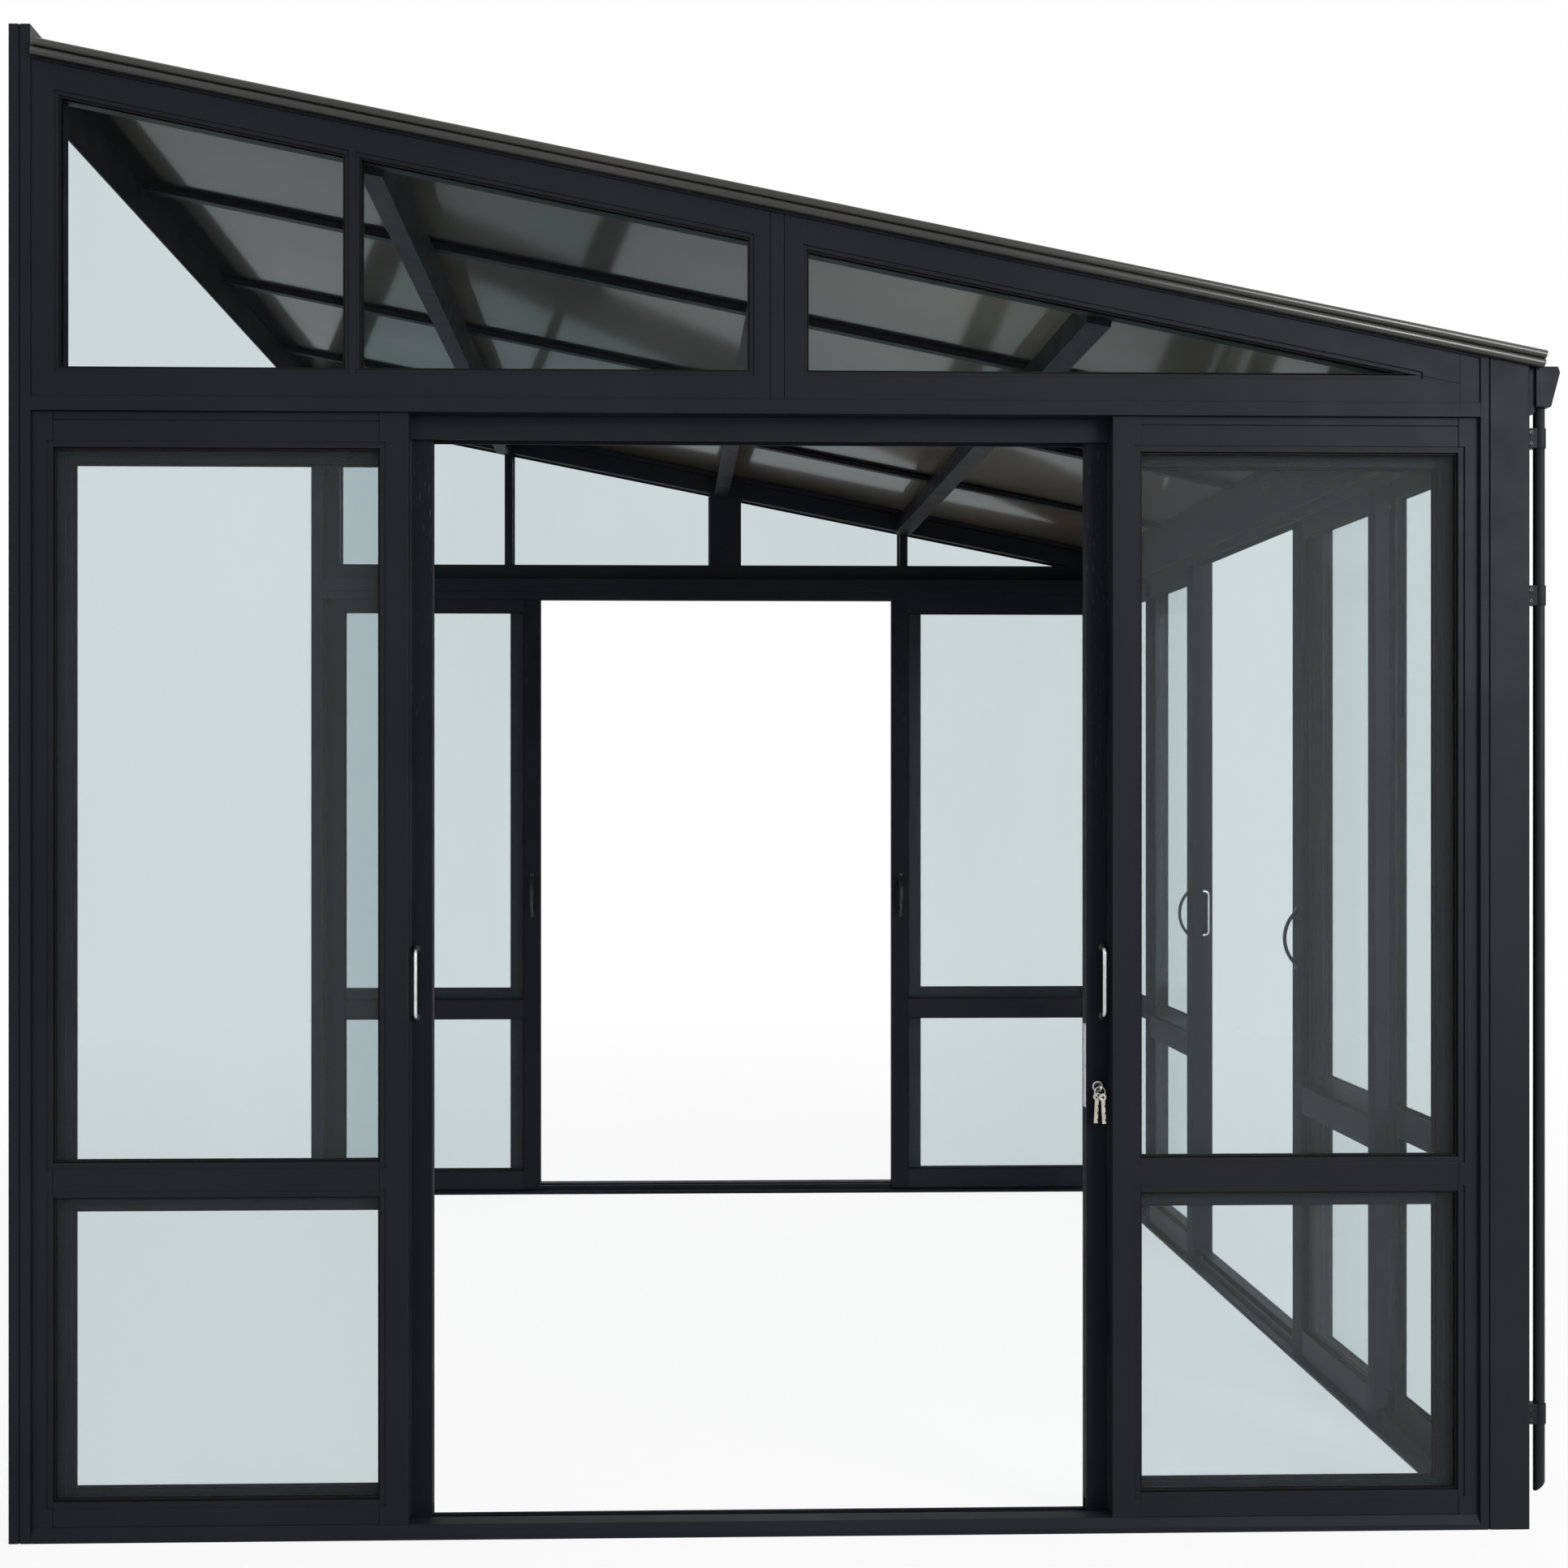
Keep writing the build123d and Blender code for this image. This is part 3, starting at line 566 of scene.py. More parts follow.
def soften(piece: Piece, width: float, segments: int = 2, angle: float = 35.0) -> None:
    """Rounds a piece's sharp edges and shades it smooth between them.

    Args:
        piece: The piece.
        width: How far the rounding reaches.
        segments: Its steps.
        angle: Edges sharper than this, in degrees, are rounded.
    """
    deselect()
    piece.select_set(True)
    bpy.context.view_layer.objects.active = piece
    edge = piece.modifiers.new("edge", "BEVEL")
    edge.width = width
    edge.segments = segments
    edge.limit_method = "ANGLE"
    edge.angle_limit = math.radians(angle)
    bpy.ops.object.modifier_apply(modifier=edge.name)
    bpy.ops.object.shade_smooth_by_angle(angle=math.radians(angle))


def copy_of(piece: Piece, name: str, move: Matrix) -> Piece:
    """Copies a piece with its own mesh, moved.

    Args:
        piece: The piece to copy.
        name: The copy's name.
        move: Where the copy goes, worked into its mesh.

    Returns:
        The copy.
    """
    twin = piece.copy()
    twin.data = piece.data.copy()
    twin.data.transform(move)
    bpy.context.scene.collection.objects.link(twin)
    return rename(twin, name)


def join(name: str, pieces: list[Piece]) -> Piece:
    """Joins pieces to one.

    Args:
        name: The joined piece's name.
        pieces: What is joined.

    Returns:
        The joined piece.
    """
    bpy.context.view_layer.update()
    deselect()
    for piece in pieces:
        piece.select_set(True)
    bpy.context.view_layer.objects.active = pieces[0]
    bpy.ops.object.join()
    return rename(pieces[0], name)


def scrap(piece: Piece) -> None:
    """Removes a pattern that was only copied from."""
    bpy.data.objects.remove(piece, do_unlink=True)


def solids_of(node: str) -> list[list[Vector]]:
    """Finds the separate solids of a CAD node.

    Args:
        node: The node's name.

    Returns:
        The corner points of each solid, from the lowest along X, then Y, then Z.
    """
    mesh = bmesh.new()
    mesh.from_mesh(frame["nodes"][node].data)
    bmesh.ops.remove_doubles(mesh, verts=mesh.verts, dist=WELD)
    left = set(mesh.verts)
    solids = []
    while left:
        front = [left.pop()]
        points = []
        while front:
            vert = front.pop()
            points.append(vert.co.copy())
            for edge in vert.link_edges:
                other = edge.other_vert(vert)
                if other in left:
                    left.remove(other)
                    front.append(other)
        solids.append(points)
    mesh.free()
    return sorted(solids, key=lambda points: tuple(span(points)[0]))


def span(points: list[Vector]) -> tuple[Vector, Vector]:
    """Returns the lowest and highest corners of some points."""
    columns = list(zip(*points))
    return Vector(map(min, columns)), Vector(map(max, columns))


def body_of(node: str) -> str:
    """Returns the body that a CAD node belongs to."""
    bodies = frame["record"]["behaviour"]["bodies"]
    return next(body for body, nodes in bodies.items() if node in nodes)


@dataclass
class Assembly:
    """A sub-assembly that takes its finishes from one wardrobe."""

    wardrobe: Wardrobe

    def settle(
        self,
        piece: Piece,
        finish: Finish | None = None,
        body: str = "room_frame",
        slot: str = "frame_coat",
        replaced: str = "",
    ) -> None:
        """Lets a piece ride on a body and reports it.

        Args:
            piece: The piece.
            finish: Its finish, unless its parts have theirs already.
            body: The body that carries it.
            slot: Not used; the record's slot that its finish belongs to.
            replaced: The CAD node that it stands for, if it does.
        """
        if finish:
            self.wardrobe.dress(piece, finish)
        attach(piece, body)
        if replaced:
            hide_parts(replaced)
        log.info("piece %s on %s", piece.name, body)


@dataclass
class CadNodes(Assembly):
    """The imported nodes: their finishes and the small rounding of their metal edges."""

    edge_radius: float = 0.0007
    edge_angle: float = math.radians(40.0)
    edge_steps: int = 2
    flat_angle: float = math.radians(0.4)

    def finish_of(self, node: str) -> Finish:
        """Picks the finish of a node by the end of its name."""
        endings = {
            "roof_glass": Finish.ROOF_GLASS,
            "gable_glass": Finish.GABLE_GLASS,
            "glass": Finish.EAVE_GLASS if node.startswith("eave") else Finish.WALL_GLASS,
            "pulls": Finish.SILVER,
            "lock": Finish.LOCK,
            "roof_edge_trim": Finish.TRIM,
            "door_stiles": Finish.DOOR_COAT,
        }
        return next((finish for ending, finish in endings.items() if node.endswith(ending)), Finish.COAT)

    def round_edges(self, piece: Piece) -> None:
        """Rounds a node's sharp edges a little, so that they catch the light.

        Args:
            piece: The node's object.
        """
        weld = piece.modifiers.new("weld", "WELD")
        weld.merge_threshold = WELD
        flat = piece.modifiers.new("flat", "DECIMATE")
        flat.decimate_type = "DISSOLVE"
        flat.angle_limit = self.flat_angle
        edge = piece.modifiers.new("edge", "BEVEL")
        edge.width = self.edge_radius
        edge.segments = self.edge_steps
        edge.limit_method = "ANGLE"
        edge.angle_limit = self.edge_angle

    def build(self) -> None:
        """Gives every node its finish."""
        for name, piece in sorted(frame["nodes"].items()):
            finish = self.finish_of(name)
            self.wardrobe.dress(piece, finish)
            if isinstance(finish.value, PowderCoat):
                self.round_edges(piece)
            log.info("node %s: %s", name, finish.name)


@dataclass
class GlazingRubber(Assembly):
    """Rubber strips round every pane but the roof's, on both of its faces."""

    unit_half: float = 0.5
    width: float = 0.0042
    height: float = 0.0045
    bite: float = 0.010
    rounding: float = 0.0011
    end_reach: float = 0.0005

    def pattern(self) -> Piece:
        """Models one square strip of side 1 in the XZ plane.

        Returns:
            The pattern, its foot at Y 0 and its top towards -Y.
        """
        half = self.unit_half
        piece = block("rubber_pattern", Vector((-half, -self.height, -half)), Vector((half, 0.0, half)))
        pierce(piece, FRONT, self.width)
        soften(piece, self.rounding)
        return piece

    def fit(self, pattern: Piece, name: str, points: list[Vector], across: int, outer: bool) -> Piece:
        """Fits a copy of the pattern to one face of a pane.

        Args:
            pattern: The square pattern.
            name: The strip's name.
            points: The pane's corners.
            across: The axis through the pane's thickness.
            outer: Whether it lies on the face with the lower coordinate.

        Returns:
            The fitted strip.
        """
        low, high = span(points)
        along = 1 - across
        tops = []
        for end in (low[along], high[along]):
            tops.append(max(p.z for p in points if abs(p[along] - end) < self.end_reach))
        rise = (tops[1] - tops[0]) / (high[along] - low[along])
        lean = math.hypot(1.0, rise)
        middle = (low[along] + high[along]) / 2
        half = (high[along] - low[along]) / 2 - self.bite
        foot = low[across] if outer else high[across]
        way = 1.0 if outer else -1.0
        strip = copy_of(pattern, name, Matrix.Identity(4))
        for vert in strip.data.vertices:
            side = math.copysign(1.0, vert.co.x)
            place = middle + side * half + (vert.co.x - side * self.unit_half)
            if vert.co.z > 0.0:
                top = tops[0] + rise * (place - low[along]) - self.bite * lean
                height = top + (vert.co.z - self.unit_half) * lean
            else:
                height = low.z + self.bite + (vert.co.z + self.unit_half)
            moved = Vector((0.0, 0.0, height))
            moved[along] = place
            moved[across] = foot + way * vert.co.y
            vert.co = moved
        return strip

    def build(self) -> None:
        """Puts the strips on every glass node but the roof's."""
        pattern = self.pattern()
        for node in sorted(frame["nodes"]):
            if not node.endswith("glass") or node == "roof_glass":
                continue
            across = 0 if node.startswith("eave") else 1
            strips = []
            for number, points in enumerate(solids_of(node)):
                for outer in (True, False):
                    strips.append(self.fit(pattern, f"{node}_strip_{number}_{outer}", points, across, outer))
            piece = join(node.replace("glass", "glazing_rubber"), strips)
            open_all()
            bpy.ops.mesh.normals_make_consistent(inside=False)
            shut()
            self.settle(piece, Finish.RUBBER, body_of(node))
        scrap(pattern)


@dataclass
class PullSet(Assembly):
    """A silver bar pull outside and a black bow pull inside, on each sliding door."""

    grip: float = 0.0045
    reach: float = 0.0255
    length: float = 0.136
    bend: float = 0.013
    bar_sides: int = 20
    bar_steps: int = 8
    bar_smooth: float = math.radians(40.0)
    merge: float = 0.00001
    rosette: float = 0.0075
    rosette_height: float = 0.003
    rosette_sides: int = 24
    rosette_edge: float = 0.0009
    door: float = 0.032
    bow_half: float = 0.075
    bow_reach: float = 0.036
    bow_width: float = 0.010
    bow_thickness: float = 0.008
    bow_steps: int = 18
    bow_edge: float = 0.0022
    bow_short: float = math.radians(0.8)
    pad_length: float = 0.020
    pad_height: float = 0.004
    pad_edge: float = 0.0015
    pad_width_share: float = 0.7

    def close(self) -> None:
        """Closes the open ends, turns the normals outwards and leaves edit mode."""
        bpy.ops.mesh.select_all(action="SELECT")
        bpy.ops.mesh.fill_holes(sides=0)
        bpy.ops.mesh.normals_make_consistent(inside=False)
        shut()

    def bar(self) -> Piece:
        """Bends the round bar from its lower foot to its upper foot.

        Returns:
            The bar, its feet at Y 0 and its grip towards -Y.
        """
        low = -self.length / 2
        run = self.reach - self.bend
        deselect()
        bpy.ops.mesh.primitive_circle_add(
            vertices=self.bar_sides, radius=self.grip, location=UP * low, rotation=(QUARTER, 0.0, 0.0)
        )
        piece = take("pull_bar")
        bpy.ops.object.mode_set(mode="EDIT")
        bpy.ops.mesh.select_mode(type="EDGE")
        bpy.ops.mesh.select_all(action="SELECT")
        push(FRONT * run)
        rise = UP * (self.length - 2 * self.bend)
        for height, next_run in ((low + self.bend, rise), (-low - self.bend, FRONT * -run)):
            bpy.ops.mesh.spin(steps=self.bar_steps, angle=QUARTER, center=(0.0, -run, height), axis=RIGHT)
            push(next_run)
        bpy.ops.mesh.select_all(action="SELECT")
        bpy.ops.mesh.remove_doubles(threshold=self.merge)
        self.close()
        bpy.ops.object.shade_smooth_by_angle(angle=self.bar_smooth)
        return piece

    def bow(self) -> Piece:
        """Sweeps the flat bow through its arc.

        Returns:
            The bow, on the room side of the door.
        """
        radius = (self.bow_half**2 + self.bow_reach**2) / (2 * self.bow_reach)
        middle = self.door + self.bow_reach - radius
        half = math.asin(self.bow_half / radius) - self.bow_short
        deselect()
        bpy.ops.mesh.primitive_plane_add(
            size=1.0, location=(0.0, middle + radius - self.bow_thickness / 2, 0.0)
        )
        bpy.context.active_object.scale = (self.bow_width, self.bow_thickness, 1.0)
        piece = take("pull_bow")
        centre = Matrix.Translation((0.0, middle, 0.0))
        piece.data.transform(centre @ Matrix.Rotation(half, 4, "X") @ centre.inverted())
        open_all()
        bpy.ops.mesh.delete(type="ONLY_FACE")
        bpy.ops.mesh.select_mode(type="EDGE")
        bpy.ops.mesh.select_all(action="SELECT")
        bpy.ops.mesh.spin(steps=self.bow_steps, angle=2 * half, center=(0.0, middle, 0.0), axis=RIGHT)
        self.close()
        soften(piece, self.bow_edge, ROUND_STEPS)
        return piece

    def pattern(self) -> Piece:
        """Models one pull set at the middle of a door's outer face.

        Returns:
            The pattern.
        """
        bar = self.bar()
        parts = [bar]
        for side in SIDES:
            foot = UP * (side * self.length / 2)
            rosette = disc("pull_rosette", foot, FRONT, self.rosette, self.rosette_height, self.rosette_sides)
            soften(rosette, self.rosette_edge)
            parts.append(rosette)
        parts.append(self.bow())
        for side in SIDES:
            middle = Vector((0.0, self.door, side * (self.bow_half - self.pad_length / 4)))
            reach = Vector((self.bow_width * self.pad_width_share, 0.0, self.pad_length / 2))
            pad = block("pull_pad", middle - reach, middle + reach - FRONT * self.pad_height)
            soften(pad, self.pad_edge, ROUND_STEPS)
            parts.append(pad)
        for part in parts:
            self.wardrobe.dress(part, Finish.SILVER if part is bar else Finish.BLACK)
        return join("pull_pattern", parts)

    def build(self) -> None:
        """Puts a pull set on every door, in place of its CAD pulls."""
        pattern = self.pattern()
        turns = {"front": 0.0, "back": math.pi, "eave": QUARTER}
        for node in sorted(frame["nodes"]):
            if not node.endswith("_pulls"):
                continue
            door = node.removesuffix("_pulls")
            wall = node.split("_")[0]
            low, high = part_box(node)
            near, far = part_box(f"{door}_stiles")
            place = (low + high) / 2
            if wall == "eave":
                place.x = far.x
            else:
                place.y = near.y if wall == "front" else far.y
            move = Matrix.Translation(place) @ Matrix.Rotation(turns[wall], 4, "Z")
            piece = copy_of(pattern, f"{door}_pull_set", move)
            self.settle(piece, body=door, slot="door_pull", replaced=node)
        scrap(pattern)


@dataclass
class LockSet(Assembly):
    """The lock of the front right door: edge plate, rose, cylinder, ring and keys."""

    node: str = "front_right_door_lock"
    body: str = "front_right_door"
    plate_depth: float = 0.003
    plate_half: float = 0.011
    plate_rim: float = 0.0068
    plate_recess: float = 0.0013
    plate_edge: float = 0.0005
    screw_inset: float = 0.0042
    screw_sink: float = 0.0002
    screw_radius: float = 0.0026
    screw_height: float = 0.0007
    screw_edge: float = 0.0003
    screw_sides: int = 16
    cylinder_inset: float = 0.022
    cylinder_height: float = 0.876
    rose: float = 0.011
    rose_depth: float = 0.004
    plug: float = 0.0075
    plug_reach: float = 0.007
    plug_rim: float = 0.0018
    plug_recess: float = 0.0006
    plug_edge: float = 0.0004
    key_bow: float = 0.0078
    key_hole: float = 0.003
    key_gauge: float = 0.002
    key_bite: float = 0.001
    blade_share: float = 0.4
    blade_half: float = 0.0038
    blade_length: float = 0.046
    blade_cuts: int = 9
    tooth_start: float = 0.008
    tooth_pitch: float = 0.0034
    tooth_depth: float = 0.0014
    stem_half: float = 0.0036
    stem_edge: float = 0.0004
    stem_sink: float = 0.002
    stem_length: float = 0.006
    ring: float = 0.0105
    ring_wire: float = 0.0009
    ring_pitch: float = 0.0019
    ring_rise: float = 0.0024
    ring_steps: int = 48
    wire_steps: int = 10
    hang_turns: Range = (0.52, -0.52)
    hang_lean: float = 0.05
    hang_inset: float = 0.0006
    hang_front: float = 0.0032
    hang_gap: float = 0.0075
    hang_drop: float = 0.0012

    def spot(self) -> Vector:
        """Finds the cylinder's place.

        Returns:
            Its middle on the door's outer face.
        """
        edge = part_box(self.node)[0].x
        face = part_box(f"{self.body}_stiles")[0].y
        return Vector((edge + self.cylinder_inset, face, self.cylinder_height))

    def build_plate(self) -> list[Piece]:
        """Models the edge plate with its recess and two screws.

        Returns:
            Its parts.
        """
        low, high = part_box(self.node)
        near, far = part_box(f"{self.body}_stiles")
        middle = (near.y + far.y) / 2
        plate = block(
            "lock_plate",
            Vector((low.x, middle - self.plate_half, low.z)),
            Vector((low.x + self.plate_depth, middle + self.plate_half, high.z)),
        )
        recess(plate, -RIGHT, self.plate_rim, self.plate_recess)
        soften(plate, self.plate_edge)
        self.wardrobe.dress(plate, Finish.LOCK)
        parts = [plate]
        for height in (low.z + self.screw_inset, high.z - self.screw_inset):
            foot = Vector((low.x + self.screw_sink, middle, height))
            screw = disc("lock_screw", foot, -RIGHT, self.screw_radius, self.screw_height, self.screw_sides)
            soften(screw, self.screw_edge)
            self.wardrobe.dress(screw, Finish.SCREW)
            parts.append(screw)
        return parts

    def build_cylinder(self) -> list[Piece]:
        """Models the rose and the cylinder with its sunk face.

        Returns:
            Its parts.
        """
        spot = self.spot()
        rose = ring("lock_rose", spot, FRONT, self.rose, self.plug, self.rose_depth)
        self.wardrobe.dress(rose, Finish.SILVER)
        plug = disc("lock_plug", spot, FRONT, self.plug, self.plug_reach, RING_SIDES)
        recess(plug, FRONT, self.plug_rim, self.plug_recess)
        soften(plug, self.plug_edge)
        self.wardrobe.dress(plug, Finish.BLACK)
        return [rose, plug]

    def bow(self, name: str, hole: Vector, flat: Vector) -> Piece:
        """Models a key's round head about the middle of its hole, with its thickness along a direction."""
        back = hole - flat * self.key_gauge / 2
        return ring(name, back, flat, self.key_bow, self.key_hole, self.key_gauge)

    def hanging_key(self, name: str, hole: Vector, lean: float) -> Piece:
        """Models a key that hangs from the ring.

        Args:
            name: Its name.
            hole: The middle of the hole in its bow.
            lean: How far it leans to the side.

        Returns:
            The key.
        """
        bow = self.bow(name, hole, FRONT)
        foot = hole - UP * (self.key_bow - self.key_bite)
        half = Vector((self.blade_half, self.key_gauge * self.blade_share, 0.0))
        blade = block(f"{name}_blade", foot - half - UP * self.blade_length, foot + half)
        open_all()
        bpy.ops.mesh.subdivide(number_cuts=self.blade_cuts)
        pick(
            blade,
            lambda middle, normal: normal.x > FACING
            and middle.z < foot.z - self.tooth_start
            and int((foot.z - middle.z) / self.tooth_pitch) % 2 == 1,
        )
        push(RIGHT * -self.tooth_depth)
        shut()
        key = join(name, [bow, blade])
        swing = Matrix.Translation(hole) @ Matrix.Rotation(lean, 4, "Y") @ Matrix.Translation(-hole)
        key.data.transform(swing)
        return key

    def key_ring(self, centre: Vector) -> Piece:
        """Winds the ring's two turns.

        Args:
            centre: The middle of its front turn.

        Returns:
            The ring.
        """
        deselect()
        bpy.ops.mesh.primitive_torus_add(
            major_radius=self.ring,
            minor_radius=self.ring_wire,
            major_segments=self.ring_steps,
            minor_segments=self.wire_steps,
            location=centre,
            rotation=(QUARTER, 0.0, 0.0),
        )
        piece = take("key_ring")
        open_all()
        bpy.ops.mesh.duplicate_move(TRANSFORM_OT_translate={"value": FRONT * -self.ring_pitch})
        shut()
        bpy.ops.object.shade_smooth()
        return piece

    def build_keys(self) -> Piece:
        """Models the key in the cylinder, the ring through it and two keys on the ring.

        Returns:
            The keys and their ring as one piece.
        """
        spot = self.spot()
        head = spot + FRONT * (self.plug_reach + self.stem_length + self.key_bow)
        bow = self.bow("key_in_lock", head, RIGHT)
        half = Vector((self.key_gauge * self.blade_share, 0.0, self.stem_half))
        start = spot + FRONT * (self.plug_reach - self.stem_sink)
        tip = head - FRONT * (self.key_bow - self.key_bite)
        stem = block("key_stem", tip - half, start + half)
        soften(stem, self.stem_edge)
        centre = head - UP * (self.ring - self.ring_rise)
        loop = self.key_ring(centre)
        parts = [bow, stem, loop]
        for number, turn in enumerate(self.hang_turns):
            hang = centre + Vector((math.sin(turn), 0.0, -math.cos(turn))) * (self.ring - self.hang_inset)
            hang += FRONT * (self.hang_front - self.hang_gap * number) - UP * self.hang_drop
            lean = -math.copysign(self.hang_lean, turn)
            parts.append(self.hanging_key(f"hanging_key_{number}", hang, lean))
        for part in parts:
            self.wardrobe.dress(part, Finish.SILVER if part is loop else Finish.KEY)
        return join("front_right_door_keys", parts)

    def build(self) -> None:
        """Builds the lock in place of its CAD node, and its keys."""
        lock = join("front_right_door_lock_set", self.build_plate() + self.build_cylinder())
        self.settle(lock, body=self.body, slot="lock_steel", replaced=self.node)
        self.settle(self.build_keys(), body=self.body, slot="lock_steel")


@dataclass
class PileSeals(Assembly):
    """Pile strips on the fixed stiles, where the doors slide past them."""

    width: float = 0.005
    proud: float = 0.0012
    depth: float = 0.0082
    foot: float = 0.032
    head: float = 2.164
    cuts: int = 3
    edge: float = 0.0009

    def strip(self, name: str, wall: str, points: list[Vector], rising: bool) -> Piece:
        """Models one strip down the free edge of a fixed stile.

        Args:
            name: Its name.
            wall: The wall it belongs to.
            points: The stile's corners.
            rising: Whether the free edge is the one with the higher coordinate.

        Returns:
            The strip.
        """
        low, high = span(points)
        along = 1 if wall == "eave" else 0
        across = 1 - along
        first = UP * self.foot
        last = UP * self.head
        edge = high[along] if rising else low[along]
        first[along] = edge - (self.width if rising else self.proud)
        last[along] = edge + (self.proud if rising else self.width)
        first[across] = high[across] if wall == "front" else low[across] - self.depth
        last[across] = first[across] + self.depth
        piece = block(name, first, last)
        open_all()
        bpy.ops.mesh.subdivide(number_cuts=self.cuts)
        shut()
        soften(piece, self.edge)
        return piece

    def build(self) -> None:
        """Puts two strips on each wall."""
        for wall in ("front", "back", "eave"):
            stiles = solids_of(f"{wall}_fixed_stiles")
            middle = len(stiles) // 2
            parts = [
                self.strip(f"{wall}_pile_0", wall, stiles[middle - 1], True),
                self.strip(f"{wall}_pile_1", wall, stiles[middle], False),
            ]
            self.settle(join(f"{wall}_pile_seals", parts), Finish.PILE)


@dataclass
class RoofFittings(Assembly):
    """Seals beside the roof caps, and the places of the screws in caps, edge flanges and flashing."""

    x_wall: float = -1.531
    wall_height: float = 2.921
    slope: float = 0.199
    bars: tuple[float, ...] = (-0.75, 0.0, 0.75)
    edges: Range = (-1.445, 1.445)
    cap_half: float = 0.025
    cap: float = 0.016
    glass: float = 0.010
    start: float = 0.047
    end: float = 3.016
    seal_half: float = 0.002
    seal_height: float = 0.0034
    seal_sink: float = 0.0002
    seal_edge: float = 0.0012
    screws: int = 7
    screw_start: float = 0.16
    screw_step: float = 0.46
    flashing_screws: int = 9
    flashing_line: float = 0.072
    flashing_rise: float = 0.003
    flashing_start: float = -1.16
    flashing_step: float = 0.3

    def frame_of_roof(self) -> Matrix:
        """Returns the turn from the roof's own axes, X down the slope and Z out, to the part's."""
        turn = Matrix.Rotation(math.atan(self.slope), 4, "Y")
        return Matrix.Translation((self.x_wall, 0.0, self.wall_height)) @ turn

    def build(self) -> None:
        """Lays a rubber seal on the glass along both sides of each cap."""
        lean = math.cos(math.atan(self.slope))
        strips = []
        for bar in self.bars:
            for side in SIDES:
                middle = bar + side * (self.cap_half + self.seal_half)
                strip = block(
                    "roof_seal",
                    Vector((self.start / lean, middle - self.seal_half, self.glass - self.seal_sink)),
                    Vector((self.end / lean, middle + self.seal_half, self.glass + self.seal_height)),
                )
                soften(strip, self.seal_edge, ROUND_STEPS)
                strips.append(strip)
        piece = join("roof_glass_seals", strips)
        piece.data.transform(self.frame_of_roof())
        self.settle(piece, Finish.RUBBER)

    def screw_places(self) -> list[Matrix]:
        """Places the roof's screws.

        Returns:
            Where they stand, with Z out of the roof.
        """
        spots = []
        for line in (*self.bars, *self.edges):
            for number in range(self.screws):
                spots.append((self.screw_start + number * self.screw_step, line, self.cap))
        for number in range(self.flashing_screws):
            along = self.flashing_start + number * self.flashing_step
            spots.append((self.flashing_line, along, self.cap + self.flashing_rise))
        roof = self.frame_of_roof()
        return [roof @ Matrix.Translation(spot) for spot in spots]


@dataclass
class Fasteners(Assembly):
    """Small pan-head screws with a sunk socket, all of one pattern."""

    radius: float = 0.0042
    height: float = 0.0026
    sides: int = 12
    socket: float = 0.0019
    socket_depth: float = 0.0014
    edge: float = 0.0006
    edge_angle: float = 60.0
    clip_plate: float = 0.003
    clip_inset: float = 0.009
    clip_side: float = 0.0075
    stile_heights: Range = (0.085, 2.125)

    def pattern(self) -> Piece:
        """Models one screw head that stands on Z 0.

        Returns:
            The pattern.
        """
        piece = disc("screw_pattern", Vector(), UP, self.radius, self.height, self.sides)
        recess(piece, UP, self.radius - self.socket, self.socket_depth)
        soften(piece, self.edge, angle=self.edge_angle)
        return piece

    def clip_places(self) -> list[Matrix]:
        """Places the screws of the pipe clips.

        Returns:
            Where they stand, facing the front.
        """
        places = []
        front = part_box("pipe_clips")[0].y + self.clip_plate
        for points in solids_of("pipe_clips"):
            low, high = span(points)
            for height in (low.z + self.clip_inset, high.z - self.clip_inset):
                spot = Matrix.Translation((low.x + self.clip_side, front, height))
                places.append(spot @ Matrix.Rotation(QUARTER, 4, "X"))
        return places

    def stile_places(self) -> list[Matrix]:
        """Places the screws of the eave's fixed stiles.

        Returns:
            Where they stand on the room side.
        """
        places = []
        for points in solids_of("eave_fixed_stiles"):
            low, high = span(points)
            for height in self.stile_heights:
                spot = Matrix.Translation((low.x, (low.y + high.y) / 2, height))
                places.append(spot @ Matrix.Rotation(-QUARTER, 4, "Y"))
        return places

    def build(self, roof_places: list[Matrix]) -> None:
        """Sets the screws of the roof, the pipe clips and the stiles.

        Args:
            roof_places: Where the roof's screws stand.
        """
        pattern = self.pattern()
        groups = (
            ("roof_screws", Finish.BLACK, "frame_coat", roof_places),
            ("clip_screws", Finish.BLACK, "frame_coat", self.clip_places()),
            ("stile_screws", Finish.SCREW, "lock_steel", self.stile_places()),
        )
        for name, finish, slot, places in groups:
            screws = [copy_of(pattern, f"{name}_{number}", place) for number, place in enumerate(places)]
            self.settle(join(name, screws), finish, slot=slot)
        scrap(pattern)


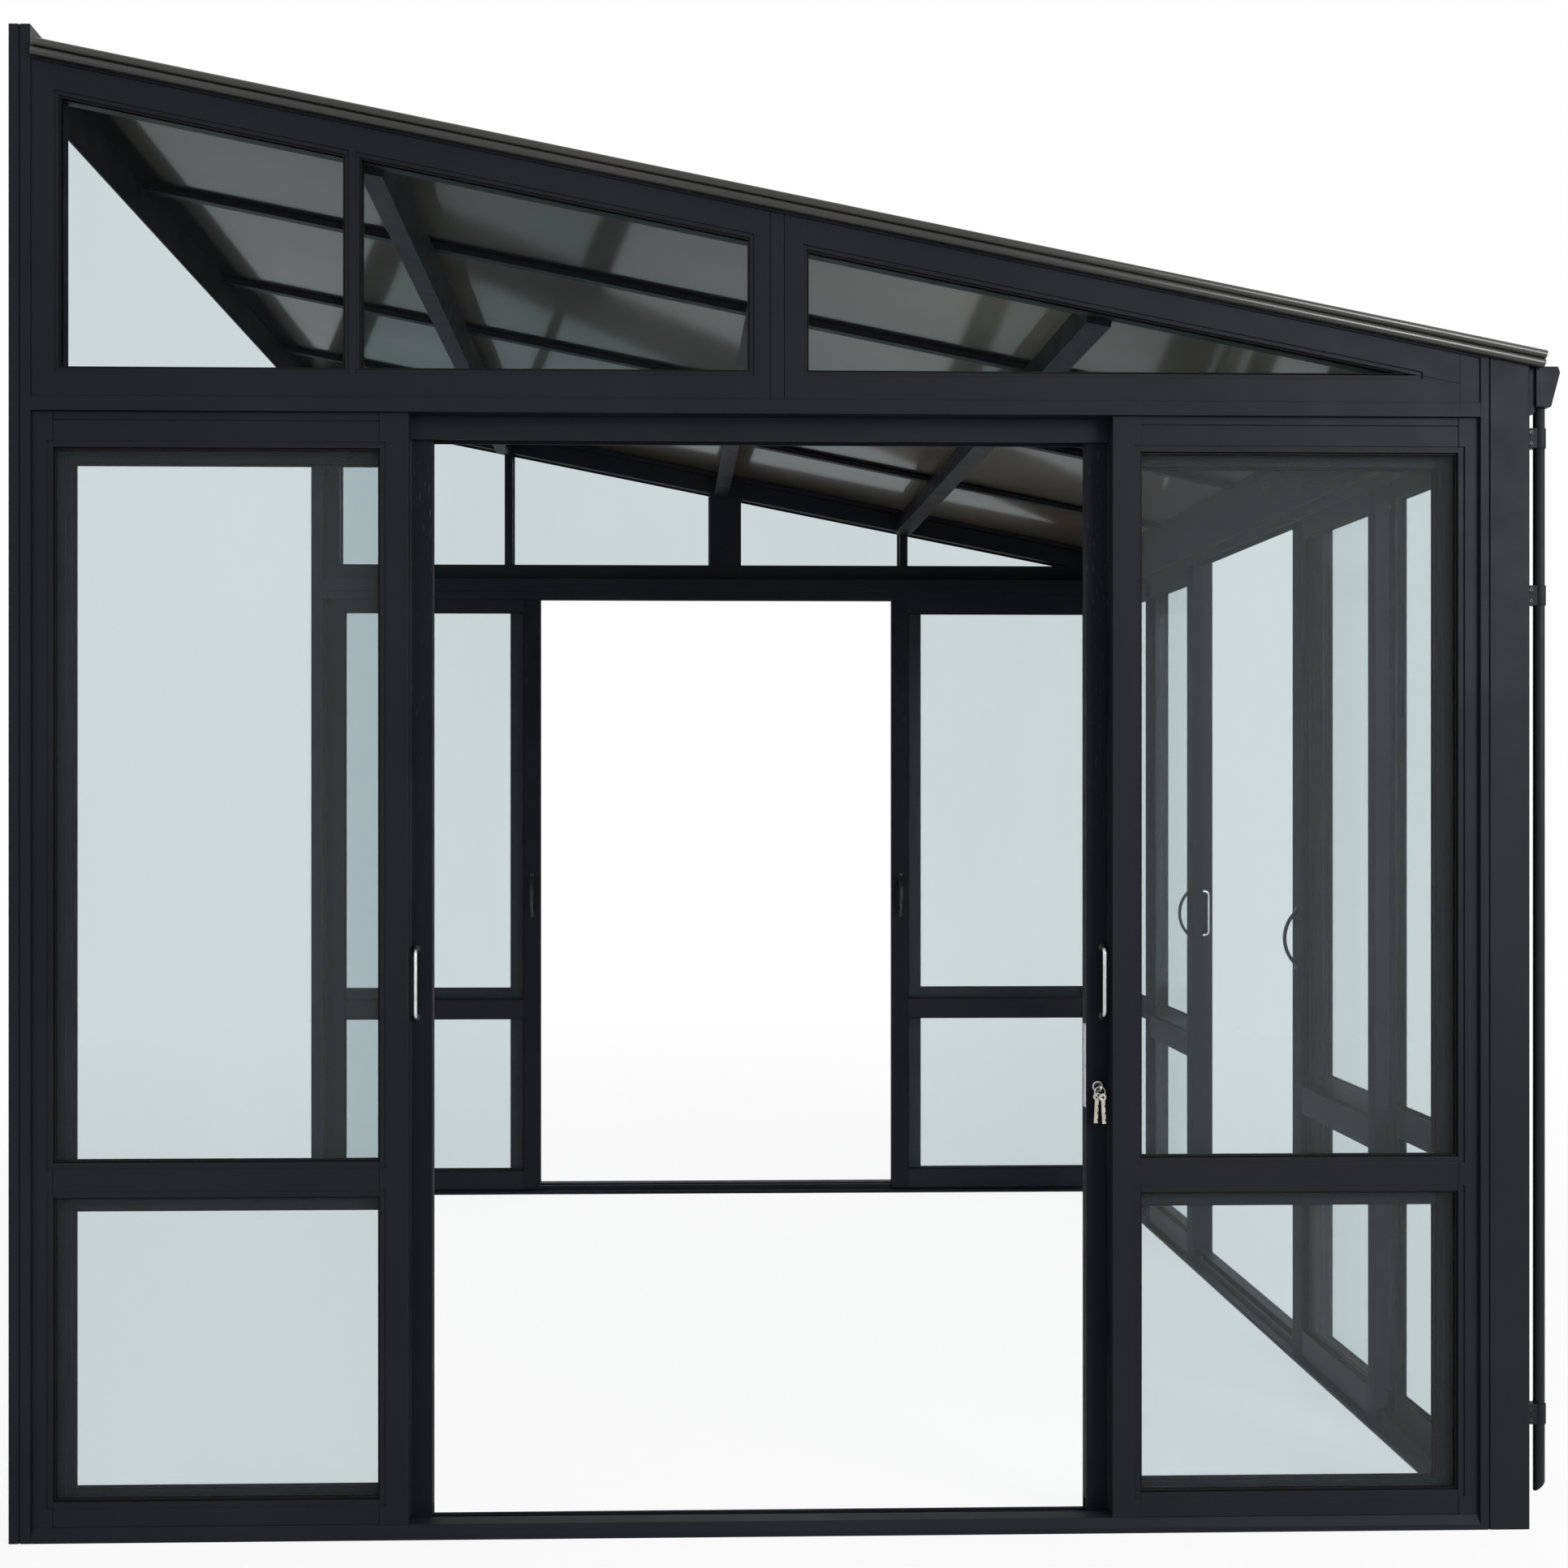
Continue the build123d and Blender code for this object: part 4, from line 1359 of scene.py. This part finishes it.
@dataclass
class GutterFittings(Assembly):
    """Strap brackets across the gutter, and the downpipe with its slanted end."""

    pipe_wall: float = 0.0015
    straps: int = 5
    strap_half: float = 0.009
    strap_back: float = 0.0005
    strap_front: float = 0.0062
    strap_low: float = 0.0035
    strap_high: float = 0.0012
    strap_rim: float = 0.005
    strap_recess: float = 0.0008
    strap_edge: float = 0.0005

    def build_pipe(self) -> None:
        """Builds the downpipe, cut at a slant so that it pours outwards, in place of its CAD node."""
        low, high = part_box("downpipe")
        radius = (high.y - low.y) / 2
        middle = (low + high) / 2
        foot = Vector((middle.x, middle.y, low.z))
        pipe = ring("downpipe_tube", foot, UP, radius, radius - self.pipe_wall, high.z - low.z)
        for vert in pipe.data.vertices:
            if vert.co.z < middle.z:
                vert.co.z += vert.co.x - low.x
        self.settle(pipe, Finish.COAT, replaced="downpipe")

    def build_straps(self) -> None:
        """Builds the brackets across the gutter's top."""
        low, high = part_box("gutter")
        parts = []
        for number in range(self.straps):
            middle = low.y + (high.y - low.y) * (number + 0.5) / self.straps
            strap = block(
                "gutter_strap",
                Vector((low.x + self.strap_back, middle - self.strap_half, high.z - self.strap_low)),
                Vector((high.x - self.strap_front, middle + self.strap_half, high.z - self.strap_high)),
            )
            recess(strap, UP, self.strap_rim, self.strap_recess)
            soften(strap, self.strap_edge)
            parts.append(strap)
        self.settle(join("gutter_straps", parts), Finish.COAT)

    def build(self) -> None:
        """Builds the downpipe and the brackets."""
        self.build_pipe()
        self.build_straps()


@dataclass(frozen=True)
class Lamp:
    """A soft square lamp: where it hangs, what it points at, its side and its watts."""

    name: str
    place: Point
    target: Point
    size: float
    power: float

    def hang(self) -> None:
        """Hangs the lamp."""
        data = bpy.data.lights.new(self.name, "AREA")
        data.size = self.size
        data.energy = self.power
        lamp = bpy.data.objects.new(self.name, data)
        lamp.location = self.place
        direction = Vector(self.target) - Vector(self.place)
        lamp.rotation_euler = direction.to_track_quat("-Z", "Y").to_euler()
        bpy.context.scene.collection.objects.link(lamp)


@dataclass
class Studio:
    """Pale floor, soft lamps, white surroundings and the camera at the photograph's angle."""

    eye: Point = (-0.255, -4.90, 1.470)
    yaw: float = math.radians(1.3)
    lens: float = 39.7
    sensor: float = 36.0
    shift: Range = (0.052, 0.004)
    clip: Range = (0.05, 300.0)
    floor_size: float = 80.0
    floor_colour: Colour = (0.93, 0.93, 0.93)
    floor_roughness: float = 0.9
    sky_strength: float = 0.55
    shade_reach: Range = (2.6, 6.5)
    white_share: float = 0.88
    lamps: tuple[Lamp, ...] = (
        Lamp("key_lamp", (4.8, -5.8, 3.2), (0.8, -1.5, 1.6), 2.6, 300.0),
        Lamp("fill_lamp", (-7.5, -6.0, 5.0), (0.0, 0.0, 1.2), 3.5, 50.0),
        Lamp("back_lamp", (3.5, 8.5, 7.5), (0.0, 0.0, 1.2), 3.5, 110.0),
    )

    def build_floor(self) -> None:
        """Lays a plain pale floor that keeps the shadow near the object and is white further off."""
        deselect()
        bpy.ops.mesh.primitive_plane_add(size=self.floor_size)
        floor = bpy.context.active_object
        floor.name = "studio_floor"
        desk = MaterialDesk("pale_floor")
        matt = desk.add(
            "ShaderNodeBsdfPrincipled",
            {
                "Base Color": (*self.floor_colour, 1.0),
                "Roughness": self.floor_roughness,
                "Specular IOR Level": 0.0,
            },
        )
        glow = desk.add("ShaderNodeEmission", {"Color": WHITE, "Strength": 1.0})
        reach = desk.add("ShaderNodeVectorMath", {0: desk.place()}, operation="LENGTH").outputs["Value"]
        share = desk.ramp(reach, self.shade_reach, (self.white_share, 1.0))
        shown = desk.combine("MULTIPLY", desk.seen(), share)
        floor.data.materials.append(desk.close(desk.mix(shown, matt, glow)))

    def build_world(self) -> None:
        """Makes the surroundings white to look at and a soft light otherwise."""
        world = bpy.data.worlds.new("white_surroundings")
        world.use_nodes = True
        bpy.context.scene.world = world
        desk = NodeDesk(world.node_tree)
        soft = desk.add("ShaderNodeBackground", {"Color": WHITE, "Strength": self.sky_strength})
        plain = desk.add("ShaderNodeBackground", {"Color": WHITE, "Strength": 1.0})
        mixed = desk.mix(desk.seen(), soft, plain)
        desk.add("ShaderNodeOutputWorld", {"Surface": mixed.outputs[0]})

    def build_camera(self) -> None:
        """Puts the camera at the photograph's viewing angle."""
        data = bpy.data.cameras.new("photo_camera")
        data.lens = self.lens
        data.sensor_width = self.sensor
        data.shift_x, data.shift_y = self.shift
        data.clip_start, data.clip_end = self.clip
        camera = bpy.data.objects.new("photo_camera", data)
        camera.location = self.eye
        camera.rotation_euler = (QUARTER, 0.0, -self.yaw)
        bpy.context.scene.collection.objects.link(camera)
        bpy.context.scene.camera = camera

    def build(self) -> None:
        """Builds the floor, the surroundings, the lamps and the camera."""
        bpy.context.scene.view_settings.view_transform = "Standard"
        self.build_floor()
        self.build_world()
        for lamp in self.lamps:
            lamp.hang()
        self.build_camera()


def main() -> None:
    """Dresses the part and sets the studio round it."""
    logging.basicConfig(level=logging.INFO, format="%(name)s %(message)s")
    wardrobe = Wardrobe()
    CadNodes(wardrobe).build()
    GlazingRubber(wardrobe).build()
    PullSet(wardrobe).build()
    LockSet(wardrobe).build()
    PileSeals(wardrobe).build()
    roof = RoofFittings(wardrobe)
    roof.build()
    Fasteners(wardrobe).build(roof.screw_places())
    GutterFittings(wardrobe).build()
    Studio().build()


if __name__ == "__main__":
    main()
